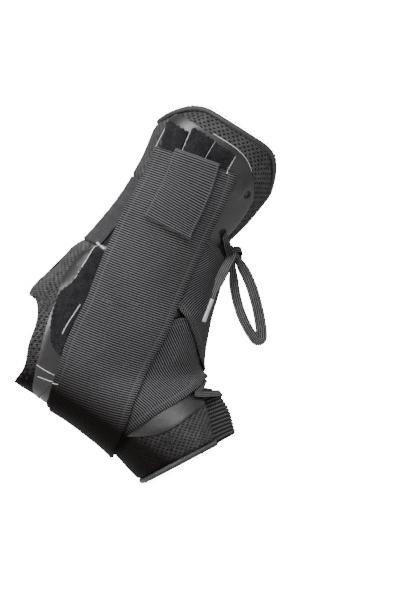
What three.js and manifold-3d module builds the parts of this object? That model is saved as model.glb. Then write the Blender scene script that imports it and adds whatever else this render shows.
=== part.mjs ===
// Lace-up ankle brace with two figure-eight webbing straps, in the pose of a raised heel.
// Millimetres, +Z up, toes towards +X, the medial side faces -Y. The origin is the ankle centre.
import * as THREE from 'three';
import { mergeVertices } from 'three/addons/utils/BufferGeometryUtils.js';
import Module from 'manifold-3d';

const wasm = await Module();
wasm.setup();

// Sizes of the foot form that the brace is sewn around
const formLength = 158; // heel to toe edge
const legHeight = 158; // ankle centre to the top of the form
const soleDrop = 75; // ankle centre to the sole
const formWidth = 80; // across the toe edge
const lean = 32; // degrees that the leg leans towards the toes

// Sewn layers
const clearance = 0.3; // between pieces that touch
const meshWall = 3; // padded mesh
const pinchedWall = 1.6; // mesh squeezed under the elastic
const facingWall = 1; // synthetic leather
const pileWall = 1.1; // hook-and-loop pile
const elasticWall = 1.2;
const tongueWall = 2.5;
const bindingWidth = 3.6;
const bindingBulge = 0.5; // binding is this much thicker than the mesh

// Straps, tabs, eyelets and lace
const strapWidth = 53;
const webbingWall = 1.5;
const tabWidth = 27;
const tabLength = 50;
const tabWall = 2.6; // webbing folded double
const tabRise = 3; // the fold stands this far past the strap's end
const tabShift = 2; // towards the toes from the strap's middle
const eyeletBore = 1.9; // radius
const eyeletRim = 3.1; // radius
const eyeletHeight = 0.8;
const laceWidth = 6.4;
const laceWall = 1.4;
const laceHeldWidth = 4.6; // where it is pulled tight
const laceDrawn = 2.8; // width where an eyelet draws the lace together
const knotSize = 8;
const knotStand = 9.5; // knot's middle in front of the form
const agletRadius = 1.7;
const agletLength = 16;

// One row for each station of the form, from the top of the leg to the toe edge.
// back and front are the ends of the station's line in the side view: x is a share of
// formLength, z a share of legHeight above the ankle centre and of soleDrop below it.
// half is a share of half the formWidth, square makes the lower half boxy and low widens it.
const stations = [
  { backX: -0.316, backZ: 1.0, frontX: 0.215, frontZ: 1.0, half: 0.94, square: 0.1, low: 0 },
  { backX: -0.32, backZ: 0.823, frontX: 0.209, frontZ: 0.823, half: 0.925, square: 0.1, low: 0 },
  { backX: -0.294, backZ: 0.639, frontX: 0.19, frontZ: 0.658, half: 0.89, square: 0.1, low: 0 },
  { backX: -0.293, backZ: 0.456, frontX: 0.161, frontZ: 0.5, half: 0.84, square: 0.1, low: 0 },
  { backX: -0.318, backZ: 0.266, frontX: 0.187, frontZ: 0.348, half: 0.81, square: 0.1, low: 0 },
  { backX: -0.358, backZ: 0.101, frontX: 0.228, frontZ: 0.209, half: 0.825, square: 0.1, low: 0 },
  { backX: -0.392, backZ: -0.107, frontX: 0.272, frontZ: 0.095, half: 0.85, square: 0.2, low: 0 },
  { backX: -0.411, backZ: -0.4, frontX: 0.309, frontZ: 0.026, half: 0.84, square: 0.4, low: 0.02 },
  { backX: -0.392, backZ: -0.667, frontX: 0.349, frontZ: -0.02, half: 0.8, square: 0.7, low: 0.04 },
  { backX: -0.304, backZ: -0.82, frontX: 0.392, frontZ: -0.042, half: 0.79, square: 0.9, low: 0.08 },
  { backX: -0.152, backZ: -0.835, frontX: 0.437, frontZ: -0.047, half: 0.825, square: 1.0, low: 0.12 },
  { backX: 0.013, backZ: -0.835, frontX: 0.481, frontZ: -0.08, half: 0.875, square: 1.0, low: 0.15 },
  { backX: 0.19, backZ: -0.88, frontX: 0.533, frontZ: -0.14, half: 0.94, square: 1.0, low: 0.18 },
  { backX: 0.38, backZ: -0.985, frontX: 0.589, frontZ: -0.247, half: 1.0, square: 1.0, low: 0.18 },
];
const lastStation = stations.length - 1;

// Front edge of the mesh flanges and the two edges of the facing, one value for each station,
// as the share of the station's line from back (0) to front (1).
const flangeShare = [0.975, 0.975, 0.972, 0.965, 0.965, 0.965, 0.965, 0.96, 0.955, 0.945, 0.93, 0.895, 0.85, 0.8];
const facingBack = [0.085, 0.09, 0.165, 0.17, 0.12, 0.085, 0.155, 0.205, 0.215, 0.145, 0, 0, 0, 0];
const facingFront = [0.78, 0.87, 0.925, 0.94, 0.94, 0.94, 0.94, 0.935, 0.93, 0.92, 0.905, 0.87, 0.82, 0.77];

// The facing's ends: an arched top and a lobe over the midfoot
const facingTop = 0.74; // station
const facingTopFall = 0.76;
const facingLobe = { station: 12.12, share: 0.42, curve: 4.1 };

// The collar's top edge, in stations
const collarTop = 0.4;
const collarBackFall = 0.76;
const collarBackShare = 0.3;
const collarFrontFall = 0.84;
const collarFrontShare = 0.72;

// The hole for the heel, an oval of stations by angle
const heelHole = { station: 7.65, reach: 1.6, angle: 0.79 };

// The elastic band round the back
const elasticBand = { top: 2.45, bottom: 4.2, share: 0.15 };

// Pile bands at the top and the pile patch behind the strap
const pileBands = [
  { top: 0.98, share: [0.083, 0.252], lowShare: [0.172, 0.29] },
  { top: 0.83, share: [0.263, 0.438], lowShare: [0.3, 0.44] },
  { top: 0.86, share: [0.45, 0.612], lowShare: [0.45, 0.6] },
];
const pileBandEnd = 4.15;
const pilePatch = [
  { station: 4.27, back: 0.128 },
  { station: 5.3, back: 0.175 },
  { station: 5.83, back: 0.158 },
  { station: 6.4, back: 0.189 },
  { station: 7.05, back: 0.232 },
  { station: 7.6, back: 0.272 },
  { station: 8.05, back: 0.335 },
];
const pilePatchFront = 0.5;

// Eyelets up each flange
const eyelets = [
  { station: 1.49, share: 0.837 },
  { station: 2.59, share: 0.882 },
  { station: 3.75, share: 0.905 },
  { station: 4.97, share: 0.91 },
  { station: 6.6, share: 0.905 },
  { station: 10.65, share: 0.845 },
];

// Middle line of a strap. lap 0 is the side where it is sewn on, lap 1 the other side, and
// lap 2 the first side again, where its free end is fastened. width is a share of strapWidth.
const outerStrapRoute = [
  { station: 3.6, share: 0.66, lap: 0, width: 0.88 },
  { station: 3.85, share: 0.82, lap: 0, width: 0.88 },
  { station: 4.15, share: 0.94, lap: 0, width: 0.88 },
  { station: 4.65, share: 0.998, lap: 0, width: 0.9 },
  { station: 5.7, share: 0.965, lap: 1, width: 0.95 },
  { station: 7.1, share: 0.85, lap: 1, width: 1 },
  { station: 8.7, share: 0.69, lap: 1, width: 1 },
  { station: 9.9, share: 0.48, lap: 1, width: 1 },
  { station: 10.75, share: 0.24, lap: 1, width: 1 },
  { station: 11.25, share: 0.06, lap: 1, width: 1 },
  { station: 11.4, share: 0.0, lap: 2, width: 1 },
  { station: 11.09, share: 0.092, lap: 2, width: 1 },
  { station: 10.04, share: 0.314, lap: 2, width: 1 },
  { station: 8.66, share: 0.501, lap: 2, width: 1 },
  { station: 5.92, share: 0.567, lap: 2, width: 1 },
  { station: 4.31, share: 0.522, lap: 2, width: 1 },
  { station: 3.0, share: 0.463, lap: 2, width: 1 },
  { station: 1.44, share: 0.375, lap: 2, width: 1 },
];
const innerStrapRoute = [
  { station: 4.0, share: 0.66, lap: 0, width: 0.88 },
  { station: 4.55, share: 0.82, lap: 0, width: 0.88 },
  { station: 5.15, share: 0.94, lap: 0, width: 0.88 },
  { station: 5.85, share: 0.998, lap: 0, width: 0.9 },
  { station: 6.72, share: 0.925, lap: 1, width: 1 },
  { station: 8.61, share: 0.71, lap: 1, width: 1 },
  { station: 9.63, share: 0.536, lap: 1, width: 1 },
  { station: 10.43, share: 0.323, lap: 1, width: 1 },
  { station: 11.0, share: 0.1, lap: 1, width: 1 },
  { station: 11.3, share: 0.0, lap: 2, width: 1 },
  { station: 11.09, share: 0.092, lap: 2, width: 1 },
  { station: 10.04, share: 0.314, lap: 2, width: 1 },
  { station: 8.66, share: 0.501, lap: 2, width: 1 },
  { station: 5.92, share: 0.567, lap: 2, width: 1 },
  { station: 4.31, share: 0.522, lap: 2, width: 1 },
  { station: 3.0, share: 0.463, lap: 2, width: 1 },
  { station: 1.44, share: 0.375, lap: 2, width: 1 },
];

// Free lace: the points of its middle line, measured from the ankle centre in the leaning pose
const nearLoop = [
  [72.6, -5, 50.2], [74.4, -7.5, 46.6], [77.6, -9, 41.0], [80.6, -10, 35.2], [83.4, -10.8, 28.4],
  [85.6, -11.4, 21.4], [87.5, -11.8, 14.0], [88.9, -12.2, 6.6], [89.9, -12.6, -0.6], [89.4, -13.2, -5.6],
  [86.6, -13.8, -6.4], [83.0, -14, -2.2], [79.6, -14.2, 3.6], [76.8, -14, 9.6], [74.6, -13.6, 16.0],
  [72.8, -12.8, 23.4], [71.6, -11.4, 31.0], [71.2, -9.2, 38.4], [71.2, -6.6, 44.6],
];
const nearEnd = [
  [71.4, -6.6, 51.0], [70.6, -16.5, 48.0], [67.4, -26.5, 42.6], [63.6, -31.5, 35], [60.4, -34, 27.6],
  [57.8, -35.5, 20.8],
];
const farLoop = [
  [72.4, 5, 50.2], [74.0, 8.2, 46.4], [77.0, 10.4, 41.0], [80.0, 12, 35.2], [82.8, 13.2, 28.4],
  [85.0, 14, 21.4], [86.9, 14.6, 14.0], [88.3, 15, 6.6], [89.2, 15.4, -0.2], [88.7, 15.8, -5.0],
  [86.2, 16, -5.8], [83.0, 16, -1.8], [79.8, 15.8, 3.8], [77.2, 15.4, 9.8], [75.0, 14.8, 16.2],
  [73.2, 13.8, 23.4], [72.0, 12.2, 31.0], [71.6, 10, 38.4], [71.4, 7.4, 44.6],
];
const farEnd = [
  [72.6, 7.4, 51.2], [72.6, 17, 48.2], [68.6, 27, 42.6], [64.0, 32.5, 35.6], [60.6, 35.5, 28.6], [58, 37.5, 22],
];

const up = new THREE.Vector3(0, 0, 1);

// Value of a column at a fractional row, smooth through the rows.
function along(values, at) {
  const row = THREE.MathUtils.clamp(Math.floor(at), 0, values.length - 2);
  const share = at - row;
  const here = values[row];
  const next = values[row + 1];
  if (share < 0 || share > 1) return here + (next - here) * share;
  const before = row > 0 ? values[row - 1] : 2 * here - next;
  const after = row + 2 < values.length ? values[row + 2] : 2 * next - here;
  const slope = next - before;
  const bend = 2 * before - 5 * here + 4 * next - after;
  const twist = -before + 3 * here - 3 * next + after;
  return here + 0.5 * share * (slope + share * (bend + share * twist));
}

const heightOf = (share) => share * (share > 0 ? legHeight : soleDrop);
const columns = {
  backX: stations.map((row) => row.backX * formLength),
  backZ: stations.map((row) => heightOf(row.backZ)),
  frontX: stations.map((row) => row.frontX * formLength),
  frontZ: stations.map((row) => heightOf(row.frontZ)),
  half: stations.map((row) => (row.half * formWidth) / 2),
  square: stations.map((row) => row.square),
  low: stations.map((row) => row.low),
};

// A share of a station's line is the angle acos(1 - 2 share) round the form.
const angleOf = (share) => Math.acos(1 - 2 * THREE.MathUtils.clamp(share, 0, 1));
const shareOf = (angle) => (1 - Math.cos(angle)) / 2;

// Point of the form at a station and an angle: 0 at the back and sole, pi at the front.
function form(station, angle) {
  const share = shareOf(angle);
  const sine = Math.sin(angle);
  const square = 0.2 + along(columns.square, station) * (1 - share);
  const round = Math.tanh(square * sine) / Math.tanh(square);
  const backX = along(columns.backX, station);
  const backZ = along(columns.backZ, station);
  return new THREE.Vector3(
    backX + (along(columns.frontX, station) - backX) * share,
    -along(columns.half, station) * round * (1 + along(columns.low, station) * Math.cos(angle)),
    backZ + (along(columns.frontZ, station) - backZ) * share,
  );
}

const probe = 0.001;
function slopes(station, angle) {
  const point = form(station, angle);
  const byStation = form(station + probe, angle).sub(form(station - probe, angle)).divideScalar(2 * probe);
  const byAngle = form(station, angle + probe).sub(form(station, angle - probe)).divideScalar(2 * probe);
  const normal = byStation.clone().cross(byAngle).normalize();
  return { point, byStation, byAngle, normal };
}

function raised(station, angle, offset) {
  const { point, normal } = slopes(station, angle);
  return point.addScaledVector(normal, offset);
}

// Walks over the form from a place, straight ahead as a tape lies, and returns the place reached.
const stride = 4;
function walk(station, angle, heading, distance) {
  const steps = Math.max(1, Math.ceil(Math.abs(distance) / stride));
  const direction = heading.clone().multiplyScalar(Math.sign(distance) || 1);
  const place = { station, angle };
  for (let step = 0; step < steps; step++) {
    const { byStation, byAngle, normal } = slopes(place.station, place.angle);
    direction.addScaledVector(normal, -direction.dot(normal)).normalize();
    const uu = byStation.dot(byStation);
    const uv = byStation.dot(byAngle);
    const vv = byAngle.dot(byAngle);
    const du = direction.dot(byStation);
    const dv = direction.dot(byAngle);
    const length = Math.abs(distance) / steps;
    place.station += (length * (vv * du - uv * dv)) / (uu * vv - uv * uv);
    place.angle += (length * (uu * dv - uv * du)) / (uu * vv - uv * uv);
  }
  return place;
}

// Evenly spaced places along a smooth line through the given ones. turning is the length that
// one radian of turning counts for, so that rows come closer together round a corner.
const angleWeight = 3;
function evenly(places, steps, turning = 0) {
  const points = places.map((place) => new THREE.Vector3(place.station, place.angle * angleWeight, 0));
  const line = new THREE.CatmullRomCurve3(points, false, 'centripetal');
  const fine = 400;
  const samples = [];
  let length = 0;
  let before = null;
  for (let index = 0; index <= fine; index++) {
    const at = line.getPoint(index / fine);
    const here = slopes(at.x, at.y / angleWeight);
    if (before) length += here.point.distanceTo(before.point) + turning * here.normal.angleTo(before.normal);
    before = here;
    const row = (index / fine) * (points.length - 1);
    samples.push({ station: at.x, angle: at.y / angleWeight, length, row });
  }
  const result = [];
  let index = 0;
  for (let step = 0; step <= steps; step++) {
    const goal = (length * step) / steps;
    while (index < fine - 1 && samples[index + 1].length < goal) index++;
    const from = samples[index];
    const to = samples[index + 1];
    const share = (goal - from.length) / Math.max(to.length - from.length, 1e-9);
    result.push({
      station: from.station + (to.station - from.station) * share,
      angle: from.angle + (to.angle - from.angle) * share,
      row: from.row + (to.row - from.row) * share,
    });
  }
  return { places: result, length };
}

// A grid of places: for each place of a line, some to the side of it at the given distances.
function band(places, distances, scales = places.map(() => 1)) {
  return places.map((place, index) => {
    const before = places[Math.max(index - 1, 0)];
    const after = places[Math.min(index + 1, places.length - 1)];
    const ahead = form(after.station, after.angle).sub(form(before.station, before.angle));
    const { normal } = slopes(place.station, place.angle);
    const across = ahead.cross(normal).normalize();
    return distances.map((distance) => walk(place.station, place.angle, across, distance * scales[index]));
  });
}

const spread = (from, to, steps) => Array.from({ length: steps + 1 }, (_, index) => from + ((to - from) * index) / steps);

// A solid from two skins over the same grid, with the edges closed.
function closedSolid(outer, inner) {
  const rows = outer.length;
  const across = outer[0].length;
  const positions = [...outer.flat(), ...inner.flat()].flatMap((point) => [point.x, point.y, point.z]);
  const skin = rows * across;
  const index = [];
  const quad = (a, b, c, d) => index.push(a, b, c, a, c, d);
  for (let row = 0; row < rows - 1; row++) {
    for (let column = 0; column < across - 1; column++) {
      const corner = row * across + column;
      quad(corner, corner + 1, corner + across + 1, corner + across);
      quad(skin + corner, skin + corner + across, skin + corner + across + 1, skin + corner + 1);
    }
  }
  const rim = [];
  for (let column = 0; column < across; column++) rim.push(column);
  for (let row = 1; row < rows; row++) rim.push(row * across + across - 1);
  for (let column = across - 2; column >= 0; column--) rim.push((rows - 1) * across + column);
  for (let row = rows - 2; row > 0; row--) rim.push(row * across);
  rim.forEach((corner, place) => {
    const next = rim[(place + 1) % rim.length];
    quad(corner, skin + corner, skin + next, next);
  });
  return facingOut(positions, index);
}

function facingOut(positions, index) {
  const corners = [0, 1, 2].map(() => new THREE.Vector3());
  let volume = 0;
  for (let face = 0; face < index.length; face += 3) {
    corners.forEach((corner, place) => corner.fromArray(positions, index[face + place] * 3));
    volume += corners[0].dot(corners[1].clone().cross(corners[2]));
  }
  const turned = volume < 0 ? index.slice().reverse() : index;
  const geometry = new THREE.BufferGeometry();
  geometry.setAttribute('position', new THREE.Float32BufferAttribute(positions, 3));
  geometry.setIndex(turned);
  return geometry;
}

// The same grid as a solid between two offsets from the form.
function layer(grid, innerOffset, outerOffset) {
  const at = (offset) => grid.map((line, row) => line.map(({ station, angle }, column) => (
    raised(station, angle, offset(row, column, station, angle)))));
  return closedSolid(at(outerOffset), at(innerOffset));
}

// Triangles of the pieces underneath, for measuring how high they reach above the form.
function faces(...geometries) {
  return geometries.flatMap((geometry) => {
    const { position } = geometry.attributes;
    const index = geometry.index ? geometry.index.array : spread(0, position.count - 1, position.count - 1);
    const list = [];
    for (let face = 0; face < index.length; face += 3) {
      const [a, b, c] = [0, 1, 2].map((place) => new THREE.Vector3().fromBufferAttribute(position, index[face + place]));
      const middle = a.clone().add(b).add(c).divideScalar(3);
      const reach = Math.max(middle.distanceTo(a), middle.distanceTo(b), middle.distanceTo(c));
      list.push({ a, b, c, middle, reach });
    }
    return list;
  });
}

const below = 8;
const above = 16;
function topOf(point, normal, pieces) {
  const start = point.clone().addScaledVector(normal, -below);
  const ray = new THREE.Ray(start, normal);
  const hit = new THREE.Vector3();
  const toMiddle = new THREE.Vector3();
  let top = -Infinity;
  for (const { a, b, c, middle, reach } of pieces) {
    toMiddle.subVectors(middle, start);
    const ahead = toMiddle.dot(normal);
    if (ahead < -reach || ahead > below + above + reach) continue;
    if (toMiddle.lengthSq() - ahead * ahead > reach * reach) continue;
    if (!ray.intersectTriangle(a, b, c, false, hit)) continue;
    top = Math.max(top, hit.sub(start).dot(normal) - below);
  }
  return top;
}

// Lays a grid over the pieces underneath. The offset of each corner clears all that its cells
// cover, and then the sheet is drawn taut between the high places.
const cellSamples = [0, 0.2, 0.4, 0.6, 0.8, 1];
const layRounds = 3;
const layMargin = 0.15;
const tautRounds = 8;
function drape(grid, pieces, floor = 0) {
  const bases = grid.map((line) => line.map(({ station, angle }) => slopes(station, angle)));
  const lift = grid.map((line) => line.map(() => floor));
  for (let round = 0; round < layRounds; round++) {
    const short = grid.map((line) => line.map(() => 0));
    for (let row = 0; row < grid.length - 1; row++) {
      for (let column = 0; column < grid[0].length - 1; column++) {
        const corners = [[row, column], [row, column + 1], [row + 1, column], [row + 1, column + 1]];
        for (const down of cellSamples) {
          for (const side of cellSamples) {
            const weights = side > down ? [1 - side, side - down, 0, down] : [1 - down, 0, down - side, side];
            const point = new THREE.Vector3();
            const normal = new THREE.Vector3();
            corners.forEach(([r, c], place) => {
              point.addScaledVector(bases[r][c].point, weights[place]);
              point.addScaledVector(bases[r][c].normal, weights[place] * lift[r][c]);
              normal.addScaledVector(bases[r][c].normal, weights[place]);
            });
            const wanted = topOf(point, normal.normalize(), pieces) + clearance + layMargin;
            corners.forEach(([r, c]) => { short[r][c] = Math.max(short[r][c], wanted); });
          }
        }
      }
    }
    lift.forEach((line, row) => line.forEach((_, column) => { line[column] += short[row][column]; }));
  }
  let taut = lift;
  for (let round = 0; round < tautRounds; round++) {
    taut = taut.map((line, row) => line.map((value, column) => {
      const near = [taut[row - 1]?.[column], taut[row + 1]?.[column], line[column - 1], line[column + 1]];
      const known = near.filter((other) => other !== undefined);
      const mean = known.reduce((sum, other) => sum + other, 0) / known.length;
      return Math.max(lift[row][column], 0.5 * (value + mean));
    }));
  }
  return taut;
}

function drapedLayer(grid, pieces, wall, floor) {
  const lift = drape(grid, pieces, floor);
  return layer(grid, (row, column) => lift[row][column], (row, column) => lift[row][column] + wall);
}

// A flat cord swept along points, as wide as each row says, its flat towards the given facing.
const laceSides = 8;
function sweep(points, facings, widths, wall) {
  const positions = [];
  const index = [];
  points.forEach((point, row) => {
    const ahead = points[Math.min(row + 1, points.length - 1)].clone().sub(points[Math.max(row - 1, 0)]).normalize();
    const flat = facings[row].clone().addScaledVector(ahead, -facings[row].dot(ahead)).normalize();
    const wide = ahead.clone().cross(flat);
    for (let side = 0; side < laceSides; side++) {
      const turn = ((side + 0.5) / laceSides) * 2 * Math.PI;
      const corner = point.clone().addScaledVector(wide, (widths[row] / 2) * Math.cos(turn) / Math.cos(Math.PI / laceSides));
      corner.addScaledVector(flat, (wall / 2) * Math.sin(turn) / Math.sin(Math.PI / 2 - Math.PI / laceSides));
      positions.push(corner.x, corner.y, corner.z);
    }
  });
  for (let row = 0; row < points.length - 1; row++) {
    for (let side = 0; side < laceSides; side++) {
      const corner = row * laceSides + side;
      const next = row * laceSides + ((side + 1) % laceSides);
      index.push(corner, next, next + laceSides, corner, next + laceSides, corner + laceSides);
    }
  }
  const end = (points.length - 1) * laceSides;
  for (let side = 1; side < laceSides - 1; side++) {
    index.push(0, side + 1, side, end, end + side, end + side + 1);
  }
  return facingOut(positions, index);
}

function toSolid(geometry) {
  const bare = geometry.clone();
  bare.deleteAttribute('normal');
  bare.deleteAttribute('uv');
  const merged = mergeVertices(bare);
  return new wasm.Manifold(new wasm.Mesh({
    numProp: 3,
    vertProperties: new Float32Array(merged.attributes.position.array),
    triVerts: new Uint32Array(merged.index.array),
  }));
}

function toGeometry(solid) {
  const mesh = solid.getMesh();
  const geometry = new THREE.BufferGeometry();
  geometry.setAttribute('position', new THREE.BufferAttribute(mesh.vertProperties, 3));
  geometry.setIndex(new THREE.BufferAttribute(mesh.triVerts, 1));
  return geometry;
}

// Round bar through the layers at an eyelet, from one offset to another.
function pegAt({ station, angle }, radius, from, to, sides) {
  const { point, normal } = slopes(station, angle);
  const peg = new THREE.CylinderGeometry(radius, radius, to - from, sides);
  peg.applyQuaternion(new THREE.Quaternion().setFromUnitVectors(new THREE.Vector3(0, 1, 0), normal));
  const middle = point.addScaledVector(normal, (from + to) / 2);
  return peg.translate(middle.x, middle.y, middle.z);
}

const eyeletSides = 8;
function pierced(geometry, side) {
  return toGeometry(eyelets.reduce((solid, { station, share }) => {
    const hole = pegAt({ station, angle: side * angleOf(share) }, eyeletBore + clearance, -5, 12, eyeletSides);
    return solid.subtract(toSolid(hole));
  }, toSolid(geometry)));
}

const cloth = (color, roughness) => new THREE.MeshStandardMaterial({ color, roughness, metalness: 0 });
const materials = {
  mesh: cloth(0x2a2a2c, 0.85),
  binding: cloth(0x333336, 0.6),
  facing: cloth(0x47474a, 0.38),
  pile: cloth(0x2e2e31, 0.95),
  elastic: cloth(0x4b4b4e, 0.8),
  webbing: cloth(0x3a3a3c, 0.75),
  tongue: cloth(0x262628, 0.9),
  lace: cloth(0x58585a, 0.8),
  eyelet: new THREE.MeshStandardMaterial({ color: 0x1c1c1e, roughness: 0.4, metalness: 0.4 }),
  aglet: cloth(0xb9b9bd, 0.25),
};

const brace = new THREE.Group();
brace.rotation.y = THREE.MathUtils.degToRad(lean);
const hanging = new THREE.Group();

function add(group, name, geometry, material) {
  const mesh = new THREE.Mesh(geometry, material);
  mesh.name = name;
  group.add(mesh);
  return geometry;
}

const sides = [{ name: 'medial', sign: 1 }, { name: 'lateral', sign: -1 }];

// Mesh boot, in two halves that meet at the back seam and under the sole
const seamAngle = 0.008;
function collarEdge(share) {
  const back = Math.max(0, 1 - share / collarBackShare) ** 2;
  const front = Math.max(0, (share - collarFrontShare) / (flangeShare[0] - collarFrontShare)) ** 3;
  return collarTop + collarBackFall * back + collarFrontFall * front;
}

function heelEdge(station) {
  const far = Math.abs(station - heelHole.station) / heelHole.reach;
  return Math.max(seamAngle, heelHole.angle * Math.sqrt(Math.max(0, 1 - far ** 3)));
}

const bootRows = 28;
const bootColumns = 12;
function bootGrid(sign) {
  return spread(0, 1, bootRows).map((down) => spread(0, 1, bootColumns).map((side) => {
    let station = collarTop + (lastStation - collarTop) * down;
    let angle = 0;
    for (let round = 0; round < 4; round++) {
      angle = THREE.MathUtils.lerp(heelEdge(station), angleOf(along(flangeShare, station)), side);
      const top = collarEdge(shareOf(angle));
      station = top + (lastStation - top) * down;
    }
    return { station, angle: sign * angle };
  }));
}

function meshOffset(station, angle) {
  const inBand = station > elasticBand.top && station < elasticBand.bottom;
  return inBand && shareOf(angle) < elasticBand.share ? pinchedWall : meshWall;
}

// Facing of synthetic leather on each side
const facingRows = 20;
const facingColumns = 8;
function facingGrid(sign) {
  return spread(0, 1, facingRows).map((down) => spread(0, 1, facingColumns).map((side) => {
    let station = facingTop + (facingLobe.station - facingTop) * down;
    let share = 0;
    for (let round = 0; round < 6; round++) {
      share = THREE.MathUtils.lerp(along(facingBack, station), along(facingFront, station), side);
      const top = facingTop + facingTopFall * Math.max(0, (share - 0.5) / 0.4) ** 3;
      const end = facingLobe.station - facingLobe.curve * (share - facingLobe.share) ** 2;
      station = top + (end - top) * down;
    }
    return { station, angle: sign * Math.max(seamAngle, angleOf(share)) };
  }));
}

const under = {};
for (const { name, sign } of sides) {
  const boot = layer(bootGrid(sign), () => 0, (row, column, station, angle) => meshOffset(station, angle));
  const facing = drapedLayer(facingGrid(sign), faces(boot), facingWall);
  under[name] = { boot, facing };
  add(brace, `mesh_boot_${name}`, pierced(boot, sign), materials.mesh);
  add(brace, `facing_${name}`, pierced(facing, sign), materials.facing);
}
const bases = sides.flatMap(({ name }) => [under[name].boot, under[name].facing]);

// Elastic band round the back, over the pinched mesh
const elasticAngle = angleOf(elasticBand.share);
const elasticGrid = spread(elasticBand.top, elasticBand.bottom, 5).map((station) => (
  spread(-elasticAngle, elasticAngle, 12).map((angle) => ({ station, angle }))));
const elastic = add(brace, 'back_elastic', drapedLayer(elasticGrid, faces(...bases), elasticWall), materials.elastic);

// Pile bands and patches
const piles = [];
for (const { name, sign } of sides) {
  pileBands.forEach(({ top, share, lowShare }, number) => {
    const grid = spread(0, 1, 8).map((down) => spread(0, 1, 2).map((side) => {
      const ease = Math.min(1, down * 2);
      const from = THREE.MathUtils.lerp(share[0], lowShare[0], ease);
      const to = THREE.MathUtils.lerp(share[1], lowShare[1], ease);
      const angle = angleOf(THREE.MathUtils.lerp(from, to, side));
      return { station: THREE.MathUtils.lerp(top, pileBandEnd, down), angle: sign * angle };
    }));
    const pile = drapedLayer(grid, faces(under[name].boot, under[name].facing, elastic), pileWall);
    piles.push(add(brace, `pile_band_${name}_${number + 1}`, pile, materials.pile));
  });
  const patch = pilePatch.map(({ station, back }) => spread(0, 1, 5).map((side) => (
    { station, angle: sign * angleOf(THREE.MathUtils.lerp(back, pilePatchFront, side)) })));
  const low = drapedLayer(patch, faces(under[name].boot, under[name].facing, elastic), pileWall);
  piles.push(add(brace, `pile_patch_${name}`, low, materials.pile));
}

// Knitted tongue behind the lacing, which swells where it comes out at the toe edge
const tongueTop = 2.2;
const tongueEnd = 13.2;
const tongueMargin = 0.3; // angle under each flange
const tongueDip = laceWall + 2 * clearance;
const tongueSwell = 5.6;
const tongueGrid = spread(tongueTop, tongueEnd, 20).map((station) => {
  const half = Math.PI - angleOf(along(flangeShare, Math.min(station, lastStation))) + tongueMargin;
  return spread(Math.PI - half, Math.PI + half, 8).map((angle) => ({ station, angle }));
});
function tongueOffset(station, angle) {
  const open = Math.PI - angleOf(along(flangeShare, Math.min(station, lastStation)));
  const inward = THREE.MathUtils.clamp(1 - Math.abs(angle - Math.PI) / open, 0, 1);
  const onward = THREE.MathUtils.smoothstep(station, 8.4, 10.8);
  return -tongueDip + tongueSwell * onward * THREE.MathUtils.smoothstep(inward, 0, 0.6);
}
const tongue = add(brace, 'knit_tongue', layer(
  tongueGrid,
  (row, column, station, angle) => tongueOffset(station, angle) - tongueWall,
  (row, column, station, angle) => tongueOffset(station, angle),
), materials.tongue);

// Edge bindings: round the collar and down both flanges, and round the toe edge
const bindingEnd = 9.6; // station where the collar binding ends under the straps
const bindingAcross = spread(2 * clearance, 2 * clearance + bindingWidth, 3);
function bindingLayer(grid) {
  const bulge = (column) => Math.sqrt(1 - 0.8 * ((2 * column) / (bindingAcross.length - 1) - 1) ** 2);
  const middle = meshWall / 2;
  const half = meshWall / 2 + bindingBulge;
  return layer(grid, (row, column) => Math.max(0, middle - half * bulge(column)), (row, column) => middle + half * bulge(column));
}
const flangeDown = spread(1.3, bindingEnd, 14).map((station) => ({ station, angle: angleOf(along(flangeShare, station)) }));
const collarRound = spread(angleOf(0.974), 0.06, 24).map((angle) => ({ station: collarEdge(shareOf(angle)), angle }));
const mirrored = (places) => places.map(({ station, angle }) => ({ station, angle: -angle })).reverse();
const collarHalf = [...flangeDown.slice().reverse(), ...collarRound];
const collarLine = evenly([...collarHalf, { station: collarEdge(0), angle: 0 }, ...mirrored(collarHalf)], 72).places;
const collarBinding = add(brace, 'collar_binding', bindingLayer(band(collarLine, bindingAcross)), materials.binding);

const toeAngle = angleOf(flangeShare[lastStation]);
const toeLine = evenly(spread(-toeAngle, toeAngle, 16).map((angle) => ({ station: lastStation, angle })), 24).places;
add(brace, 'toe_binding', bindingLayer(band(toeLine, bindingAcross)), materials.binding);

// Eyelets, and the lace that crosses between them up to the knot
const rims = [];
const eyeletPlaces = sides.map(({ sign }) => eyelets.map(({ station, share }) => ({ station, angle: sign * angleOf(share) })));
eyeletPlaces.forEach((places, half) => places.forEach((place, number) => {
  const { point, normal } = slopes(place.station, place.angle);
  const seat = Math.max(...spread(0, 5, 5).map((turn) => {
    const aside = new THREE.Vector3().crossVectors(normal, up).normalize().applyAxisAngle(normal, (turn * Math.PI) / 3);
    return topOf(point.clone().addScaledVector(aside, eyeletRim), normal, faces(...bases.slice(2 * half, 2 * half + 2)));
  })) + clearance;
  const rim = toSolid(pegAt(place, eyeletRim, seat, seat + eyeletHeight, eyeletSides));
  const ring = rim.subtract(toSolid(pegAt(place, eyeletBore, seat - 1, seat + eyeletHeight + 1, eyeletSides)));
  rims.push(add(brace, `eyelet_${sides[half].name}_${number + 1}`, toGeometry(ring), materials.eyelet));
}));

const overFlange = faces(...bases, tongue, collarBinding, ...rims);
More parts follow.
